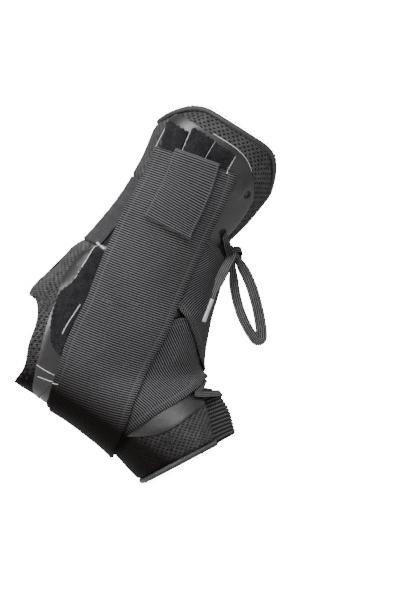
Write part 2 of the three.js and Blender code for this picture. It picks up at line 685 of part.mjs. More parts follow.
// One half of the lace, from the lowest eyelet to the knot, crossing the open front between
// eyelets. The high half passes over the other.
const knotPlace = { station: 2.95, angle: Math.PI };
const knotRise = 1;
const crossing = 10;
function laceHalf(far, high) {
  const angleAt = (level, other) => {
    const angle = angleOf(eyelets[level].share);
    return other ? 2 * Math.PI - angle : angle;
  };
  const rows = [];
  let side = far;
  for (let level = eyelets.length - 1; level > 0; level--) {
    const from = { station: eyelets[level].station, angle: angleAt(level, side) };
    rows.push({ ...from, over: laceWall / 2, width: laceDrawn });
    if (level === 1) {
      [0.3, 0.6, 0.85].forEach((share) => {
        const place = {
          station: THREE.MathUtils.lerp(from.station, knotPlace.station, share),
          angle: THREE.MathUtils.lerp(from.angle, knotPlace.angle, share * 0.8),
        };
        rows.push({ ...place, over: knotRise * share, width: laceDrawn });
      });
      break;
    }
    const to = { station: eyelets[level - 1].station, angle: angleAt(level - 1, !side) };
    for (let step = 1; step < crossing; step++) {
      const share = step / crossing;
      const place = {
        station: THREE.MathUtils.lerp(from.station, to.station, share),
        angle: THREE.MathUtils.lerp(from.angle, to.angle, share),
      };
      const over = high ? (laceWall + 2 * clearance) * Math.max(0, Math.min(1, 2 - Math.abs(share - 0.5) / 0.15)) : 0;
      const narrow = step === 1 || step === crossing - 1;
      rows.push({ ...place, over, width: narrow ? laceDrawn + 1 : laceHeldWidth });
    }
    side = !side;
  }
  return rows;
}

const lowest = eyelets[eyelets.length - 1];
const barAngles = spread(angleOf(lowest.share), 2 * Math.PI - angleOf(lowest.share), 8).slice(1, -1);
const bar = barAngles.map((angle) => ({ station: lowest.station, angle, over: 0, width: laceHeldWidth }));
const heldRows = [...laceHalf(false, true).reverse(), ...bar, ...laceHalf(true, false)];
const heldGrid = band(heldRows, [-0.6, 0, 0.6], heldRows.map(({ width }) => width));
const heldLift = drape(heldGrid, overFlange);
const heldPoints = heldRows.map(({ station, angle, over }, row) => (
  raised(station, angle, Math.max(...heldLift[row]) + laceWall / 2 + over)));
const heldFacings = heldRows.map(({ station, angle }) => slopes(station, angle).normal);
const heldWidths = heldRows.map(({ width }) => width);
const heldLace = add(brace, 'lace', sweep(heldPoints, heldFacings, heldWidths, laceWall), materials.lace);

// Straps: each starts sewn to the facing, crosses the front, goes down the other side and under
// the sole, and comes up over its own start to a free end with a pull tab.
function lapAngle({ share, lap }) {
  const angle = angleOf(share);
  return [angle, 2 * Math.PI - angle, 2 * Math.PI + angle][lap];
}

const strapRows = 48;
const strapColumns = 6;
const strapTurning = 30;
function strapGrid(route, sign) {
  const places = route.map((row) => ({ station: row.station, angle: lapAngle(row) }));
  const { places: line } = evenly(places, strapRows, strapTurning);
  const widths = route.map((row) => row.width * strapWidth);
  const scales = line.map(({ row }) => along(widths, row));
  const grid = band(line, spread(-0.5, 0.5, strapColumns), scales);
  const turned = (place) => ({ station: place.station, angle: sign * place.angle });
  return { grid: grid.map((row) => row.map(turned)), line: line.map(turned) };
}

const startRows = 10; // rows of the sewn start that the free end covers
function strapOver(route, sign, pieces) {
  const { grid, line } = strapGrid(route, sign);
  const lift = drape(grid, pieces, meshWall / 2);
  const offsets = (extra) => (row, column) => lift[row][column] + extra;
  const start = layer(grid.slice(0, startRows), offsets(0), offsets(webbingWall));
  const again = drape(grid.slice(startRows + 12), [...pieces, ...faces(start)], meshWall / 2);
  again.forEach((values, row) => values.forEach((value, column) => {
    const at = row + startRows + 12;
    lift[at][column] = Math.max(lift[at][column], value);
  }));
  return { geometry: layer(grid, offsets(0), offsets(webbingWall)), line };
}

const laced = [...bases, elastic, ...piles, tongue, collarBinding, ...rims, heldLace];
const inner = strapOver(innerStrapRoute, -1, faces(...laced));
add(brace, 'strap_inner', inner.geometry, materials.webbing);
const outer = strapOver(outerStrapRoute, 1, faces(...laced, inner.geometry));
add(brace, 'strap_outer', outer.geometry, materials.webbing);

// Pull tabs, folded over each strap's free end
[{ strap: outer, name: 'medial', sign: 1, over: [outer.geometry] },
  { strap: inner, name: 'lateral', sign: -1, over: [inner.geometry, outer.geometry] }].forEach(({ strap, name, sign, over }) => {
  const end = strap.line[strapRows];
  const before = strap.line[strapRows - 1];
  const ahead = form(end.station, end.angle).sub(form(before.station, before.angle));
  const tip = walk(end.station, end.angle, ahead.normalize(), tabRise);
  const { places: run, length: reach } = evenly([...strap.line.slice(-Math.ceil(strapRows / 3)), tip], 90);
  const kept = evenly(run.slice(-Math.round((90 * tabLength) / reach)), 8).places;
  const middle = sign * tabShift;
  const grid = band(kept, spread(middle - tabWidth / 2, middle + tabWidth / 2, 4));
  const tab = drapedLayer(grid, faces(...over, ...laced), tabWall, meshWall);
  add(brace, `pull_tab_${name}`, tab, materials.webbing);
});

// Bow: the knot, a loop and an end on each side, and the tips
const knotAt = raised(knotPlace.station, knotPlace.angle, knotStand);
const knot = new THREE.SphereGeometry(knotSize / 2, 10, 8).scale(1, 1, 0.9).translate(knotAt.x, knotAt.y, knotAt.z);
add(brace, 'lace_knot', knot, materials.lace);

const towards = (x, y, z) => new THREE.Vector3(x, y, z).normalize();
function freeLace(name, route, facing, steps, tipWidth) {
  const line = new THREE.CatmullRomCurve3(route.map((point) => new THREE.Vector3(...point)), false, 'centripetal');
  const points = spread(0, 1, steps).map((share) => line.getPointAt(share));
  const widths = points.map((_, index) => {
    const share = index / steps;
    const start = THREE.MathUtils.smoothstep(share, 0, 0.12);
    const end = tipWidth === null ? THREE.MathUtils.smoothstep(1 - share, 0, 0.12) : 1;
    const width = THREE.MathUtils.lerp(laceDrawn, laceWidth, Math.min(start, end));
    return tipWidth === null ? width : THREE.MathUtils.lerp(width, tipWidth, THREE.MathUtils.smoothstep(share, 0.7, 1));
  });
  add(hanging, name, sweep(points, points.map(() => facing), widths, laceWall), materials.lace);
  return line;
}

function aglet(name, line) {
  const ahead = line.getTangentAt(1);
  const tip = new THREE.CylinderGeometry(agletRadius, agletRadius, agletLength, 8);
  tip.applyQuaternion(new THREE.Quaternion().setFromUnitVectors(new THREE.Vector3(0, 1, 0), ahead));
  const middle = line.getPointAt(1).addScaledVector(ahead, clearance + agletLength / 2);
  add(hanging, name, tip.translate(middle.x, middle.y, middle.z), materials.aglet);
}

const loopSteps = 26;
const endSteps = 12;
freeLace('lace_loop_near', nearLoop, towards(0, -1, 0.1), loopSteps, null);
aglet('aglet_near', freeLace('lace_end_near', nearEnd, towards(-0.3, -1, 0), endSteps, 2 * agletRadius));
freeLace('lace_loop_far', farLoop, towards(0.25, 1, 0.3), loopSteps, null);
aglet('aglet_far', freeLace('lace_end_far', farEnd, towards(0.5, 1, 0), endSteps, 2 * agletRadius));

const model = new THREE.Group();
model.add(brace, hanging);
export default model;
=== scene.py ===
import math

import bpy
import numpy as np
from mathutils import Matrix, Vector
from mathutils.bvhtree import BVHTree


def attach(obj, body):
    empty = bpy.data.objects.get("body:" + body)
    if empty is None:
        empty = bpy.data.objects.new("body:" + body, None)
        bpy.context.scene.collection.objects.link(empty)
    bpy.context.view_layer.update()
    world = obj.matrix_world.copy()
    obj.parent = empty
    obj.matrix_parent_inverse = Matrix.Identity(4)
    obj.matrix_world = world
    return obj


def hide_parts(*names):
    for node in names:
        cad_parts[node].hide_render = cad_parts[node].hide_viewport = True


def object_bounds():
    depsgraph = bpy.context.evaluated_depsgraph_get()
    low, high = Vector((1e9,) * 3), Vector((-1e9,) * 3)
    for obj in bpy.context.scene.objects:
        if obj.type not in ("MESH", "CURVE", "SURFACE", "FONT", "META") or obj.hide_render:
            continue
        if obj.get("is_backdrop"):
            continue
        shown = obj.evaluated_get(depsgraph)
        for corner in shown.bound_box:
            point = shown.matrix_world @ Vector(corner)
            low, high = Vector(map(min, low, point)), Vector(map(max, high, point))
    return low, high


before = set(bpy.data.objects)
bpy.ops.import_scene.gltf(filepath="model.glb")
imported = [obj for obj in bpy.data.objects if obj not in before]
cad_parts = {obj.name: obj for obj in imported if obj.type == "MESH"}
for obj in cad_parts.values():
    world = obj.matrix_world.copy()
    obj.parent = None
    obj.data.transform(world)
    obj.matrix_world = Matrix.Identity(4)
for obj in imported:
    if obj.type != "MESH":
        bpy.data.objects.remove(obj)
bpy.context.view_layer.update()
millimetre = 0.001
bothSides = (("medial", 1), ("lateral", -1))

# The camera looks square at the medial side from far off
photo = {"width": 401, "height": 601, "mmPerPixel": 0.65, "originX": 123.5, "originY": 330.7}
view = {"distance": 2.5, "sensor": 36.0, "near": 0.1}


# The lens takes in the photo's height: lens = sensor * distance / height.
def makeCamera():
    camera = bpy.data.objects.new("camera", bpy.data.cameras.new("camera"))
    bpy.context.scene.collection.objects.link(camera)
    scale = photo["mmPerPixel"] * millimetre
    x = (photo["width"] / 2 - photo["originX"]) * scale
    z = (photo["originY"] - photo["height"] / 2) * scale
    camera.location = (x, -view["distance"], z)
    camera.rotation_euler = (math.pi / 2, 0, 0)
    camera.data.sensor_width = view["sensor"]
    camera.data.lens = view["sensor"] * view["distance"] / (photo["height"] * scale)
    camera.data.clip_start = view["near"]
    bpy.context.scene.camera = camera


makeCamera()
print("camera ready")

# Sizes of the form that the cloth is laid over, as in the CAD model
sizes = {"length": 158, "shaftHeight": 158, "soleDrop": 75, "width": 80, "lean": 32}

# Rows from the top to the toe edge: back x, back z, front x, front z, half width, square, low
stationShares = np.array([
    [-0.316, 1.0, 0.215, 1.0, 0.94, 0.1, 0],
    [-0.32, 0.823, 0.209, 0.823, 0.925, 0.1, 0],
    [-0.294, 0.639, 0.19, 0.658, 0.89, 0.1, 0],
    [-0.293, 0.456, 0.161, 0.5, 0.84, 0.1, 0],
    [-0.318, 0.266, 0.187, 0.348, 0.81, 0.1, 0],
    [-0.358, 0.101, 0.228, 0.209, 0.825, 0.1, 0],
    [-0.392, -0.107, 0.272, 0.095, 0.85, 0.2, 0],
    [-0.411, -0.4, 0.309, 0.026, 0.84, 0.4, 0.02],
    [-0.392, -0.667, 0.349, -0.02, 0.8, 0.7, 0.04],
    [-0.304, -0.82, 0.392, -0.042, 0.79, 0.9, 0.08],
    [-0.152, -0.835, 0.437, -0.047, 0.825, 1.0, 0.12],
    [0.013, -0.835, 0.481, -0.08, 0.875, 1.0, 0.15],
    [0.19, -0.88, 0.533, -0.14, 0.94, 1.0, 0.18],
    [0.38, -0.985, 0.589, -0.247, 1.0, 1.0, 0.18],
])
lastStation = len(stationShares) - 1
flangeShare = [0.975, 0.975, 0.972, 0.965, 0.965, 0.965, 0.965, 0.96, 0.955, 0.945, 0.93, 0.895, 0.85, 0.8]
facingBack = [0.085, 0.09, 0.165, 0.17, 0.12, 0.085, 0.155, 0.205, 0.215, 0.145, 0, 0, 0, 0]
facingFront = [0.78, 0.87, 0.925, 0.94, 0.94, 0.94, 0.94, 0.935, 0.93, 0.92, 0.905, 0.87, 0.82, 0.77]


# Shares times the sizes: x by the length, z by the shaft's height or the sole's drop, half by half a width.
def scaledStations():
    rows = stationShares.copy()
    rows[:, [0, 2]] *= sizes["length"]
    for column in (1, 3):
        rows[:, column] *= np.where(rows[:, column] > 0, sizes["shaftHeight"], sizes["soleDrop"])
    rows[:, 4] *= sizes["width"] / 2
    return rows


stations = scaledStations()


# Value of a column at fractional rows: a Catmull-Rom curve through the rows, straight beyond them.
def along(values, at):
    values = np.asarray(values, float)
    at = np.asarray(at, float)
    row = np.clip(np.floor(at), 0, len(values) - 2).astype(int)
    share = at - row
    here = values[row]
    there = values[row + 1]
    before = np.where(row > 0, values[np.maximum(row - 1, 0)], 2 * here - there)
    after = np.where(row + 2 < len(values), values[np.minimum(row + 2, len(values) - 1)], 2 * there - here)
    bend = 2 * before - 5 * here + 4 * there - after
    twist = -before + 3 * here - 3 * there + after
    curve = here + 0.5 * share * ((there - before) + share * (bend + share * twist))
    straight = here + (there - here) * share
    return np.where((share < 0) | (share > 1), straight, curve)


# A ring runs from its back at angle 0 to its front at pi: share = (1 - cos angle) / 2.
def angleOf(share):
    return np.arccos(1 - 2 * np.clip(share, 0, 1))


def shareOf(angle):
    return (1 - np.cos(angle)) / 2


# 0 below low, 1 above high and 3 share^2 - 2 share^3 between them.
def smooth(value, low, high):
    share = np.clip((value - low) / (high - low), 0, 1)
    return share * share * (3 - 2 * share)


# A bell: exp(-((value - middle) / reach)^2).
def bump(value, middle, reach):
    return np.exp(-(((value - middle) / reach) ** 2))


# The form: each station is a flattened ring whose width is tanh(square * sin(angle)), so that the
# sole comes out flat with rounded corners.
def form(station, angle):
    share = shareOf(angle)
    square = 0.2 + along(stations[:, 5], station) * (1 - share)
    ring = np.tanh(square * np.sin(angle)) / np.tanh(square)
    backX = along(stations[:, 0], station)
    backZ = along(stations[:, 1], station)
    x = backX + (along(stations[:, 2], station) - backX) * share
    y = -along(stations[:, 4], station) * ring * (1 + along(stations[:, 6], station) * np.cos(angle))
    z = backZ + (along(stations[:, 3], station) - backZ) * share
    return np.stack([x, y, z], axis=-1)


# Vectors divided by their own lengths.
def unit(vectors):
    return vectors / np.maximum(np.linalg.norm(vectors, axis=-1, keepdims=True), 1e-12)


# The form's change by station and by angle, from points a probe to each side, and its unit normal.
def slopes(station, angle, probe=0.002):
    byStation = (form(station + probe, angle) - form(station - probe, angle)) / (2 * probe)
    byAngle = (form(station, angle + probe) - form(station, angle - probe)) / (2 * probe)
    return byStation, byAngle, unit(np.cross(byStation, byAngle))


# Points above the form: form + normal * offset.
def raised(station, angle, offset):
    normal = slopes(station, angle)[2]
    return form(station, angle) + normal * np.asarray(offset)[..., None]


# One step of a tape laid over the form: the heading is kept in the surface and turned into a
# change of station and angle by the surface's two slopes.
def stepOver(station, angle, heading, distance):
    byStation, byAngle, normal = slopes(station, angle)
    heading = unit(heading - normal * np.sum(heading * normal, axis=-1, keepdims=True))
    uu = np.sum(byStation * byStation, axis=-1)
    uv = np.sum(byStation * byAngle, axis=-1)
    vv = np.sum(byAngle * byAngle, axis=-1)
    du = np.sum(heading * byStation, axis=-1)
    dv = np.sum(heading * byAngle, axis=-1)
    area = uu * vv - uv * uv
    station = station + distance * (vv * du - uv * dv) / area
    angle = angle + distance * (uu * dv - uv * du) / area
    return station, angle, heading


# Smooth line through given points: centripetal Catmull-Rom, as the CAD model draws it.
def smoothLine(points, count):
    points = np.asarray(points, float)
    last = len(points) - 1
    at = np.linspace(0, last, count)
    row = np.minimum(np.floor(at), last - 1).astype(int)
    share = (at - row)[:, None]
    extended = np.vstack([2 * points[0] - points[1], points, 2 * points[-1] - points[-2]])
    p0, p1, p2, p3 = (extended[row + shift] for shift in range(4))

    def gap(a, b):
        return np.maximum(np.sum((a - b) ** 2, axis=-1, keepdims=True) ** 0.25, 1e-4)

    d0, d1, d2 = gap(p0, p1), gap(p1, p2), gap(p2, p3)
    t1 = ((p1 - p0) / d0 - (p2 - p0) / (d0 + d1) + (p2 - p1) / d1) * d1
    t2 = ((p2 - p1) / d1 - (p3 - p1) / (d1 + d2) + (p3 - p2) / d2) * d1
    square = -3 * p1 + 3 * p2 - 2 * t1 - t2
    cube = 2 * p1 - 2 * p2 + t1 + t2
    return p1 + share * (t1 + share * (square + share * cube)), at


# Running length of a line: the sum of its steps so far.
def lengths(points):
    return np.concatenate([[0], np.cumsum(np.linalg.norm(np.diff(points, axis=0), axis=1))])


# Evenly spaced rows of a line on the form. A radian of turning counts as turning millimetres.
def evenly(route, steps, turning=0.0, stretch=3, fine=1600):
    line, at = smoothLine(np.asarray(route, float) * [1, stretch], fine)
    station, angle = line[:, 0], line[:, 1] / stretch
    points = form(station, angle)
    normals = slopes(station, angle)[2]
    turn = np.arccos(np.clip(np.sum(normals[1:] * normals[:-1], axis=1), -1, 1))
    measure = lengths(points)
    measure[1:] += turning * np.cumsum(turn)
    goals = np.linspace(0, measure[-1], steps + 1)
    pick = [np.interp(goals, measure, values) for values in (station, angle, at)]
    reached = lengths(form(pick[0], pick[1]))
    return {"station": pick[0], "angle": pick[1], "row": pick[2], "length": reached}


# A grid over the form, columns laid square to the line and spaced by the half widths given.
def band(line, low, high, columns, scale=None, stride=3):
    station, angle = line["station"], line["angle"]
    points = form(station, angle)
    ahead = np.gradient(points, axis=0)
    across = np.cross(ahead, slopes(station, angle)[2])
    scale = np.ones(len(station)) if scale is None else scale
    offsets = np.linspace(low, high, columns + 1)
    grid = np.zeros((2, len(station), columns + 1))
    for side in (-1, 1):
        order = [c for c in range(columns + 1) if offsets[c] * side >= 0]
        order.sort(key=lambda c: abs(offsets[c]))
        place, turnedAngle, heading, reached = station, angle, across * side, 0.0
        for column in order:
            gap = abs(offsets[column]) - reached
            parts = max(1, math.ceil(gap / stride))
            for _ in range(parts):
                place, turnedAngle, heading = stepOver(place, turnedAngle, heading, scale * gap / parts)
            reached = abs(offsets[column])
            grid[:, :, column] = place, turnedAngle
    return {"station": grid[0], "angle": grid[1], "offsets": offsets, "length": line["length"]}


# Collects what lies underneath, for laying the next layer on it.
class Layers:
    def __init__(self):
        self.points = []
        self.faces = []
        self.count = 0

    def add(self, points, faces):
        points = points.reshape(-1, 3)
        self.points.append(points)
        self.faces.append(faces + self.count)
        self.count += len(points)

    def tree(self):
        return BVHTree.FromPolygons(np.vstack(self.points).tolist(), np.vstack(self.faces).tolist())


# Corners of each cell of a grid whose rows follow one another, in a ring when closed.
def quads(rows, columns, closed=False):
    row = np.arange(rows - 1)[:, None]
    column = np.arange(columns if closed else columns - 1)[None, :]
    beside = (column + 1) % columns
    corner = row * columns + column
    cells = [corner, row * columns + beside, (row + 1) * columns + beside, corner + columns]
    return np.stack(cells, axis=-1).reshape(-1, 4)


# Faces of a tube: its grid closed round the columns, and a cap at each end.
def tubeFaces(rows, columns):
    ring = np.arange(columns)[None, :]
    return [quads(rows, columns, closed=True), ring[:, ::-1], (rows - 1) * columns + ring]


# Shares from 0 to 1 down the rows and along the columns of a grid.
def shareGrid(rows, columns):
    return np.meshgrid(np.linspace(0, 1, rows), np.linspace(0, 1, columns), indexing="ij")


# Arrays of coordinates, spread to one shape and joined to points.
def joined(*values):
    return np.stack(np.broadcast_arrays(*values), axis=-1)


# How high the layers below reach at each grid point: a ray comes down along the form's normal.
def heights(station, angle, tree, above=13.0, below=6.0):
    base = form(station, angle)
    normal = slopes(station, angle)[2]
    starts = (base + normal * above).reshape(-1, 3).tolist()
    downs = (-normal).reshape(-1, 3).tolist()
    found = [tree.ray_cast(start, down, above + below)[3] for start, down in zip(starts, downs)]
    nothing = -99.0
    return np.array([nothing if hit is None else above - hit for hit in found]).reshape(station.shape)


# The four neighbours of each value in a grid, with the borders repeated.
def neighbours(values):
    padded = np.pad(values, 1, mode="edge")
    return padded[:-2, 1:-1], padded[2:, 1:-1], padded[1:-1, :-2], padded[1:-1, 2:]


# Each value becomes the largest of itself and its neighbours.
def spread(need, times):
    for _ in range(times):
        need = np.maximum(need, np.maximum.reduce(neighbours(need)))
    return need


# Each round moves a point halfway to its neighbours' mean, but never below what it must clear.
def drawTaut(need, lift, rounds):
    for _ in range(rounds):
        lift = np.maximum(need, 0.5 * (lift + sum(neighbours(lift)) / 4))
    return lift


# Lays a cloth over the layers: it clears them by the gap and is then drawn taut.
def settle(grid, tree, floor, gap=0.12, rounds=60, spreadOver=1):
    need = np.maximum(heights(grid["station"], grid["angle"], tree) + gap, floor)
    need = spread(need, spreadOver)
    return drawTaut(need, need, rounds)


lean = math.radians(sizes["lean"])
leanMatrix = np.array([
    [math.cos(lean), 0, math.sin(lean)],
    [0, 1, 0],
    [-math.sin(lean), 0, math.cos(lean)],
])


# A point turned from the upright frame into the leaning one: x cos + z sin, z cos - x sin.
def leaned(point):
    return leanMatrix @ point


# The same for a list of points, in metres.
def toFrame(points):
    return points.reshape(-1, 3) @ leanMatrix.T * millimetre


# A mesh from points in the upright frame, turned outward by the sign of its volume. cloth holds each
# point's place on the flat fabric in mm. The slot argument is not used.
def makeMesh(name, points, faces, cloth, finish, nodes=(), slot=None, leaning=True, smoothAngle=50):
    points = toFrame(points) if leaning else points.reshape(-1, 3) * millimetre
    faces = [np.asarray(part) for part in (faces if isinstance(faces, list) else [faces])]
    volume = 0.0
    for part in faces:
        first = points[part[:, 0]]
        volume += np.sum(first * np.cross(points[part[:, 1]] - first, points[part[:, 2]] - first))
    cells = [face for part in faces for face in (part[:, ::-1] if volume < 0 else part).tolist()]
    mesh = bpy.data.meshes.new(name)
    mesh.from_pydata(points.tolist(), [], cells)
    layer = mesh.attributes.new("cloth", "FLOAT_VECTOR", "POINT")
    cloth = cloth.reshape(len(points), -1)
    flat = np.zeros((len(points), 3))
    flat[:, :cloth.shape[1]] = cloth
    layer.data.foreach_set("vector", flat.ravel())
    mesh.shade_smooth()
    mesh.set_sharp_from_angle(angle=math.radians(smoothAngle))
    mesh.materials.append(materials[finish])
    piece = bpy.data.objects.new(name, mesh)
    bpy.context.scene.collection.objects.link(piece)
    slot = slot or finish
    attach(piece, "root")
    if nodes:
        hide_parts(*nodes)
    return piece


# Two skins and a rim between them. Faces of the outer skin come first.
def shellFaces(rows, columns):
    skin = rows * columns
    outer = quads(rows, columns)
    inner = outer[:, ::-1] + skin
    rim = np.concatenate([
        np.arange(columns),
        np.arange(1, rows) * columns + columns - 1,
        (rows - 1) * columns + np.arange(columns - 2, -1, -1),
        np.arange(rows - 2, 0, -1) * columns,
    ])
    after = np.roll(rim, -1)
    edge = np.stack([rim, rim + skin, after + skin, after], axis=-1)
    return np.vstack([outer, inner, edge])


# Running lengths down the columns and along the rows of a grid of points.
def runs(points):
    downSteps = np.linalg.norm(np.diff(points, axis=0), axis=-1)
    sideSteps = np.linalg.norm(np.diff(points, axis=1), axis=-1)
    down = np.vstack([np.zeros(points.shape[1]), np.cumsum(downSteps, axis=0)])
    side = np.hstack([np.zeros((points.shape[0], 1)), np.cumsum(sideSteps, axis=1)])
    return down, side


# Distance from each grid point to the nearest border, for rounding a sheet's edges.
def fromBorder(points):
    top, left = runs(points)
    return np.minimum.reduce([top, top[-1] - top, left, left[:, -1:] - left])


# Height of a quarter circle at a distance in from the edge, as a share of the radius.
def rounded(distance, radius):
    share = np.clip(distance / radius, 0, 1)
    return np.sqrt(np.clip(1 - (1 - share) ** 2, 0, 1))


# A sheet of cloth with two skins: the wall is halved about its middle and thinned by the rounded edge.
def makeSheet(name, grid, lift, wall, cloth, finish, nodes, radius=0.8, wave=0.0, thin=0.35):
    base = form(grid["station"], grid["angle"])
    normal = slopes(grid["station"], grid["angle"])[2]
    edge = thin + (1 - thin) * rounded(fromBorder(base), radius)
    inner = lift + wall * 0.5 * (1 - edge)
    outer = lift + wall * (0.5 + 0.5 * edge) + wave
    skins = np.stack([base + normal * outer[..., None], base + normal * inner[..., None]])
    rows, columns = grid["station"].shape
    under.add(skins[0], quads(rows, columns))
    return makeMesh(name, skins, shellFaces(rows, columns), np.concatenate([cloth, cloth]), finish, nodes)


# Flat places of a grid in mm: along each row from its middle, and the columns' mean run down.
def flatCloth(grid):
    down, side = runs(form(grid["station"], grid["angle"]))
    middle = side.shape[1] // 2
    across = side - side[:, middle:middle + 1] + side[:, -1].mean() / 2
    return joined(across, down.mean(axis=1)[:, None])


# Materials

# A material with its tree and its shader.
def newTree(name, roughness, specular=0.5, sheen=0.0, coat=0.0, metallic=0.0):
    material = bpy.data.materials.new(name)
    material.use_nodes = True
    tree = material.node_tree
    shader = tree.nodes["Principled BSDF"]
    shader.inputs["Roughness"].default_value = roughness
    shader.inputs["Specular IOR Level"].default_value = specular
    shader.inputs["Sheen Weight"].default_value = sheen
    shader.inputs["Sheen Roughness"].default_value = 0.5
    shader.inputs["Coat Weight"].default_value = coat
    shader.inputs["Metallic"].default_value = metallic
    return material, tree, shader


# One step of arithmetic on sockets or numbers.
def calc(tree, operation, *values, clamp=False):
    node = tree.nodes.new("ShaderNodeMath")
    node.operation = operation
    node.use_clamp = clamp
    for socket, value in zip(node.inputs, values):
        if isinstance(value, (int, float)):
            socket.default_value = value
        else:
            tree.links.new(value, socket)
    return node.outputs[0]


# low * (1 - factor) + high * factor.
def mixColour(tree, factor, low, high):
    node = tree.nodes.new("ShaderNodeMix")
    node.data_type = "RGBA"
    for socket, value in ((node.inputs[0], factor), (node.inputs[6], low), (node.inputs[7], high)):
        if isinstance(value, (int, float)):
            socket.default_value = value
        elif isinstance(value, tuple):
            socket.default_value = (*value, 1)
        else:
            tree.links.new(value, socket)
    return node.outputs[2]


# The flat place in mm: across, down, and a third value that some pieces give.
def clothPlace(tree):
    node = tree.nodes.new("ShaderNodeAttribute")
    node.attribute_name = "cloth"
    split = tree.nodes.new("ShaderNodeSeparateXYZ")
    tree.links.new(node.outputs["Vector"], split.inputs[0])
    return list(split.outputs)


# The place in the piece's own metres.
def objectPlace(tree):
    return tree.nodes.new("ShaderNodeTexCoord").outputs["Object"]


# Noise from 0 to 1 with scale waves a metre.
def noise(tree, place, scale, detail=2.0, roughness=0.5):
    node = tree.nodes.new("ShaderNodeTexNoise")
    node.inputs["Scale"].default_value = scale
    node.inputs["Detail"].default_value = detail
    node.inputs["Roughness"].default_value = roughness
    tree.links.new(place, node.inputs["Vector"])
    return node.outputs["Fac"]


# Tilts the shader's normal by the slope of height * distance.
def addBump(tree, shader, height, strength=1.0, distance=0.001):
    node = tree.nodes.new("ShaderNodeBump")
    node.inputs["Strength"].default_value = strength
    node.inputs["Distance"].default_value = distance
    tree.links.new(height, node.inputs["Height"])
    tree.links.new(node.outputs[0], shader.inputs["Normal"])


# A node of the group with some inputs set or linked by name.
def useGroup(tree, group, **values):
    node = tree.nodes.new("ShaderNodeGroup")
    node.node_tree = group
    for name, value in values.items():
        if isinstance(value, (int, float)):
            node.inputs[name].default_value = value
        else:
            tree.links.new(value, node.inputs[name])
    return node.outputs


# An empty group with inputs given as names with their values, and named outputs.
def newGroup(name, inputs, outputs):
    group = bpy.data.node_groups.new(name, "ShaderNodeTree")
    for label, value in inputs.items():
        socket = group.interface.new_socket(name=label, in_out="INPUT", socket_type="NodeSocketFloat")
        socket.default_value = value
    for label in outputs:
        group.interface.new_socket(name=label, in_out="OUTPUT", socket_type="NodeSocketFloat")
    return group, group.nodes.new("NodeGroupInput").outputs, group.nodes.new("NodeGroupOutput").inputs


# Ribs: (0.5 + 0.5 sin(2 pi along / pitch))^sharp, times 1 - break + break sin(2 pi across / thread).
def ribGroup():
    inputs = {"Along": 0.0, "Across": 0.0, "Pitch": 1.3, "Thread": 0.9, "Sharp": 1.0, "Break": 0.12}
    group, given, result = newGroup("ribs", inputs, ["Ridge"])
    turn = calc(group, "DIVIDE", calc(group, "MULTIPLY", given["Along"], 2 * math.pi), given["Pitch"])
    wave = calc(group, "MULTIPLY_ADD", calc(group, "SINE", turn), 0.5, 0.5)
    threadTurn = calc(group, "DIVIDE", calc(group, "MULTIPLY", given["Across"], 2 * math.pi), given["Thread"])
    kept = calc(group, "SUBTRACT", 1.0, given["Break"])
    thread = calc(group, "MULTIPLY_ADD", calc(group, "SINE", threadTurn), given["Break"], kept)
    sharp = calc(group, "POWER", wave, given["Sharp"])
    group.links.new(calc(group, "MULTIPLY", sharp, thread), result["Ridge"])
    return group


# Holes in staggered rows: the distance to the nearest centre of two shifted square lattices.
def holeGroup():
    inputs = {"Along": 0.0, "Across": 0.0, "Pitch": 3.4, "Stretch": 1.5, "Radius": 0.2}
    group, given, result = newGroup("holes", inputs, ["Hole"])
    near = []
    for shift in (0.0, 0.5):
        squares = []
        for label, stretch in (("Along", None), ("Across", given["Stretch"])):
            place = calc(group, "ADD", calc(group, "DIVIDE", given[label], given["Pitch"]), shift)
            offset = calc(group, "SUBTRACT", calc(group, "FRACT", place), 0.5)
            offset = offset if stretch is None else calc(group, "DIVIDE", offset, stretch)
            squares.append(calc(group, "MULTIPLY", offset, offset))
        near.append(calc(group, "SQRT", calc(group, "ADD", *squares)))
    inside = calc(group, "SUBTRACT", given["Radius"], calc(group, "MINIMUM", *near))
    group.links.new(calc(group, "MULTIPLY_ADD", inside, 10.0, 0.5, clamp=True), result["Hole"])
    return group


ribs = ribGroup()
holes = holeGroup()

looks = {
    # webbing, elastic, tongue and lace: each groove colour is painted shade between the ridges
    "webbing": {"ridge": (0.128, 0.125, 0.132), "groove": (0.0003, 0.0003, 0.0003), "pitch": 1.55},
    "mesh": {"thread": (0.2, 0.195, 0.2), "hole": (0.0004, 0.0004, 0.0004), "pitch": 3.6},
    "facing": {"colour": (0.01, 0.0086, 0.0082), "roughness": 0.34},
    "pile": {"low": (0.001, 0.001, 0.0012), "high": (0.17, 0.17, 0.185)},
    "elastic": {"ridge": (0.085, 0.085, 0.09), "groove": (0.01, 0.01, 0.011), "pitch": 1.0},
    "binding": {"low": (0.03, 0.03, 0.032), "high": (0.06, 0.06, 0.064)},
    "tongue": {"ridge": (0.12, 0.117, 0.12), "groove": (0.0015, 0.0015, 0.0015)},
    "lace": {"ridge": (0.13, 0.13, 0.134), "groove": (0.001, 0.001, 0.001), "pitch": 1.28},
    # sole: the colour and the heights of the painted shade near the sole
    "sole": {"colour": (0.0025, 0.0009, 0.0006), "low": -56.0, "high": -28.0},
}
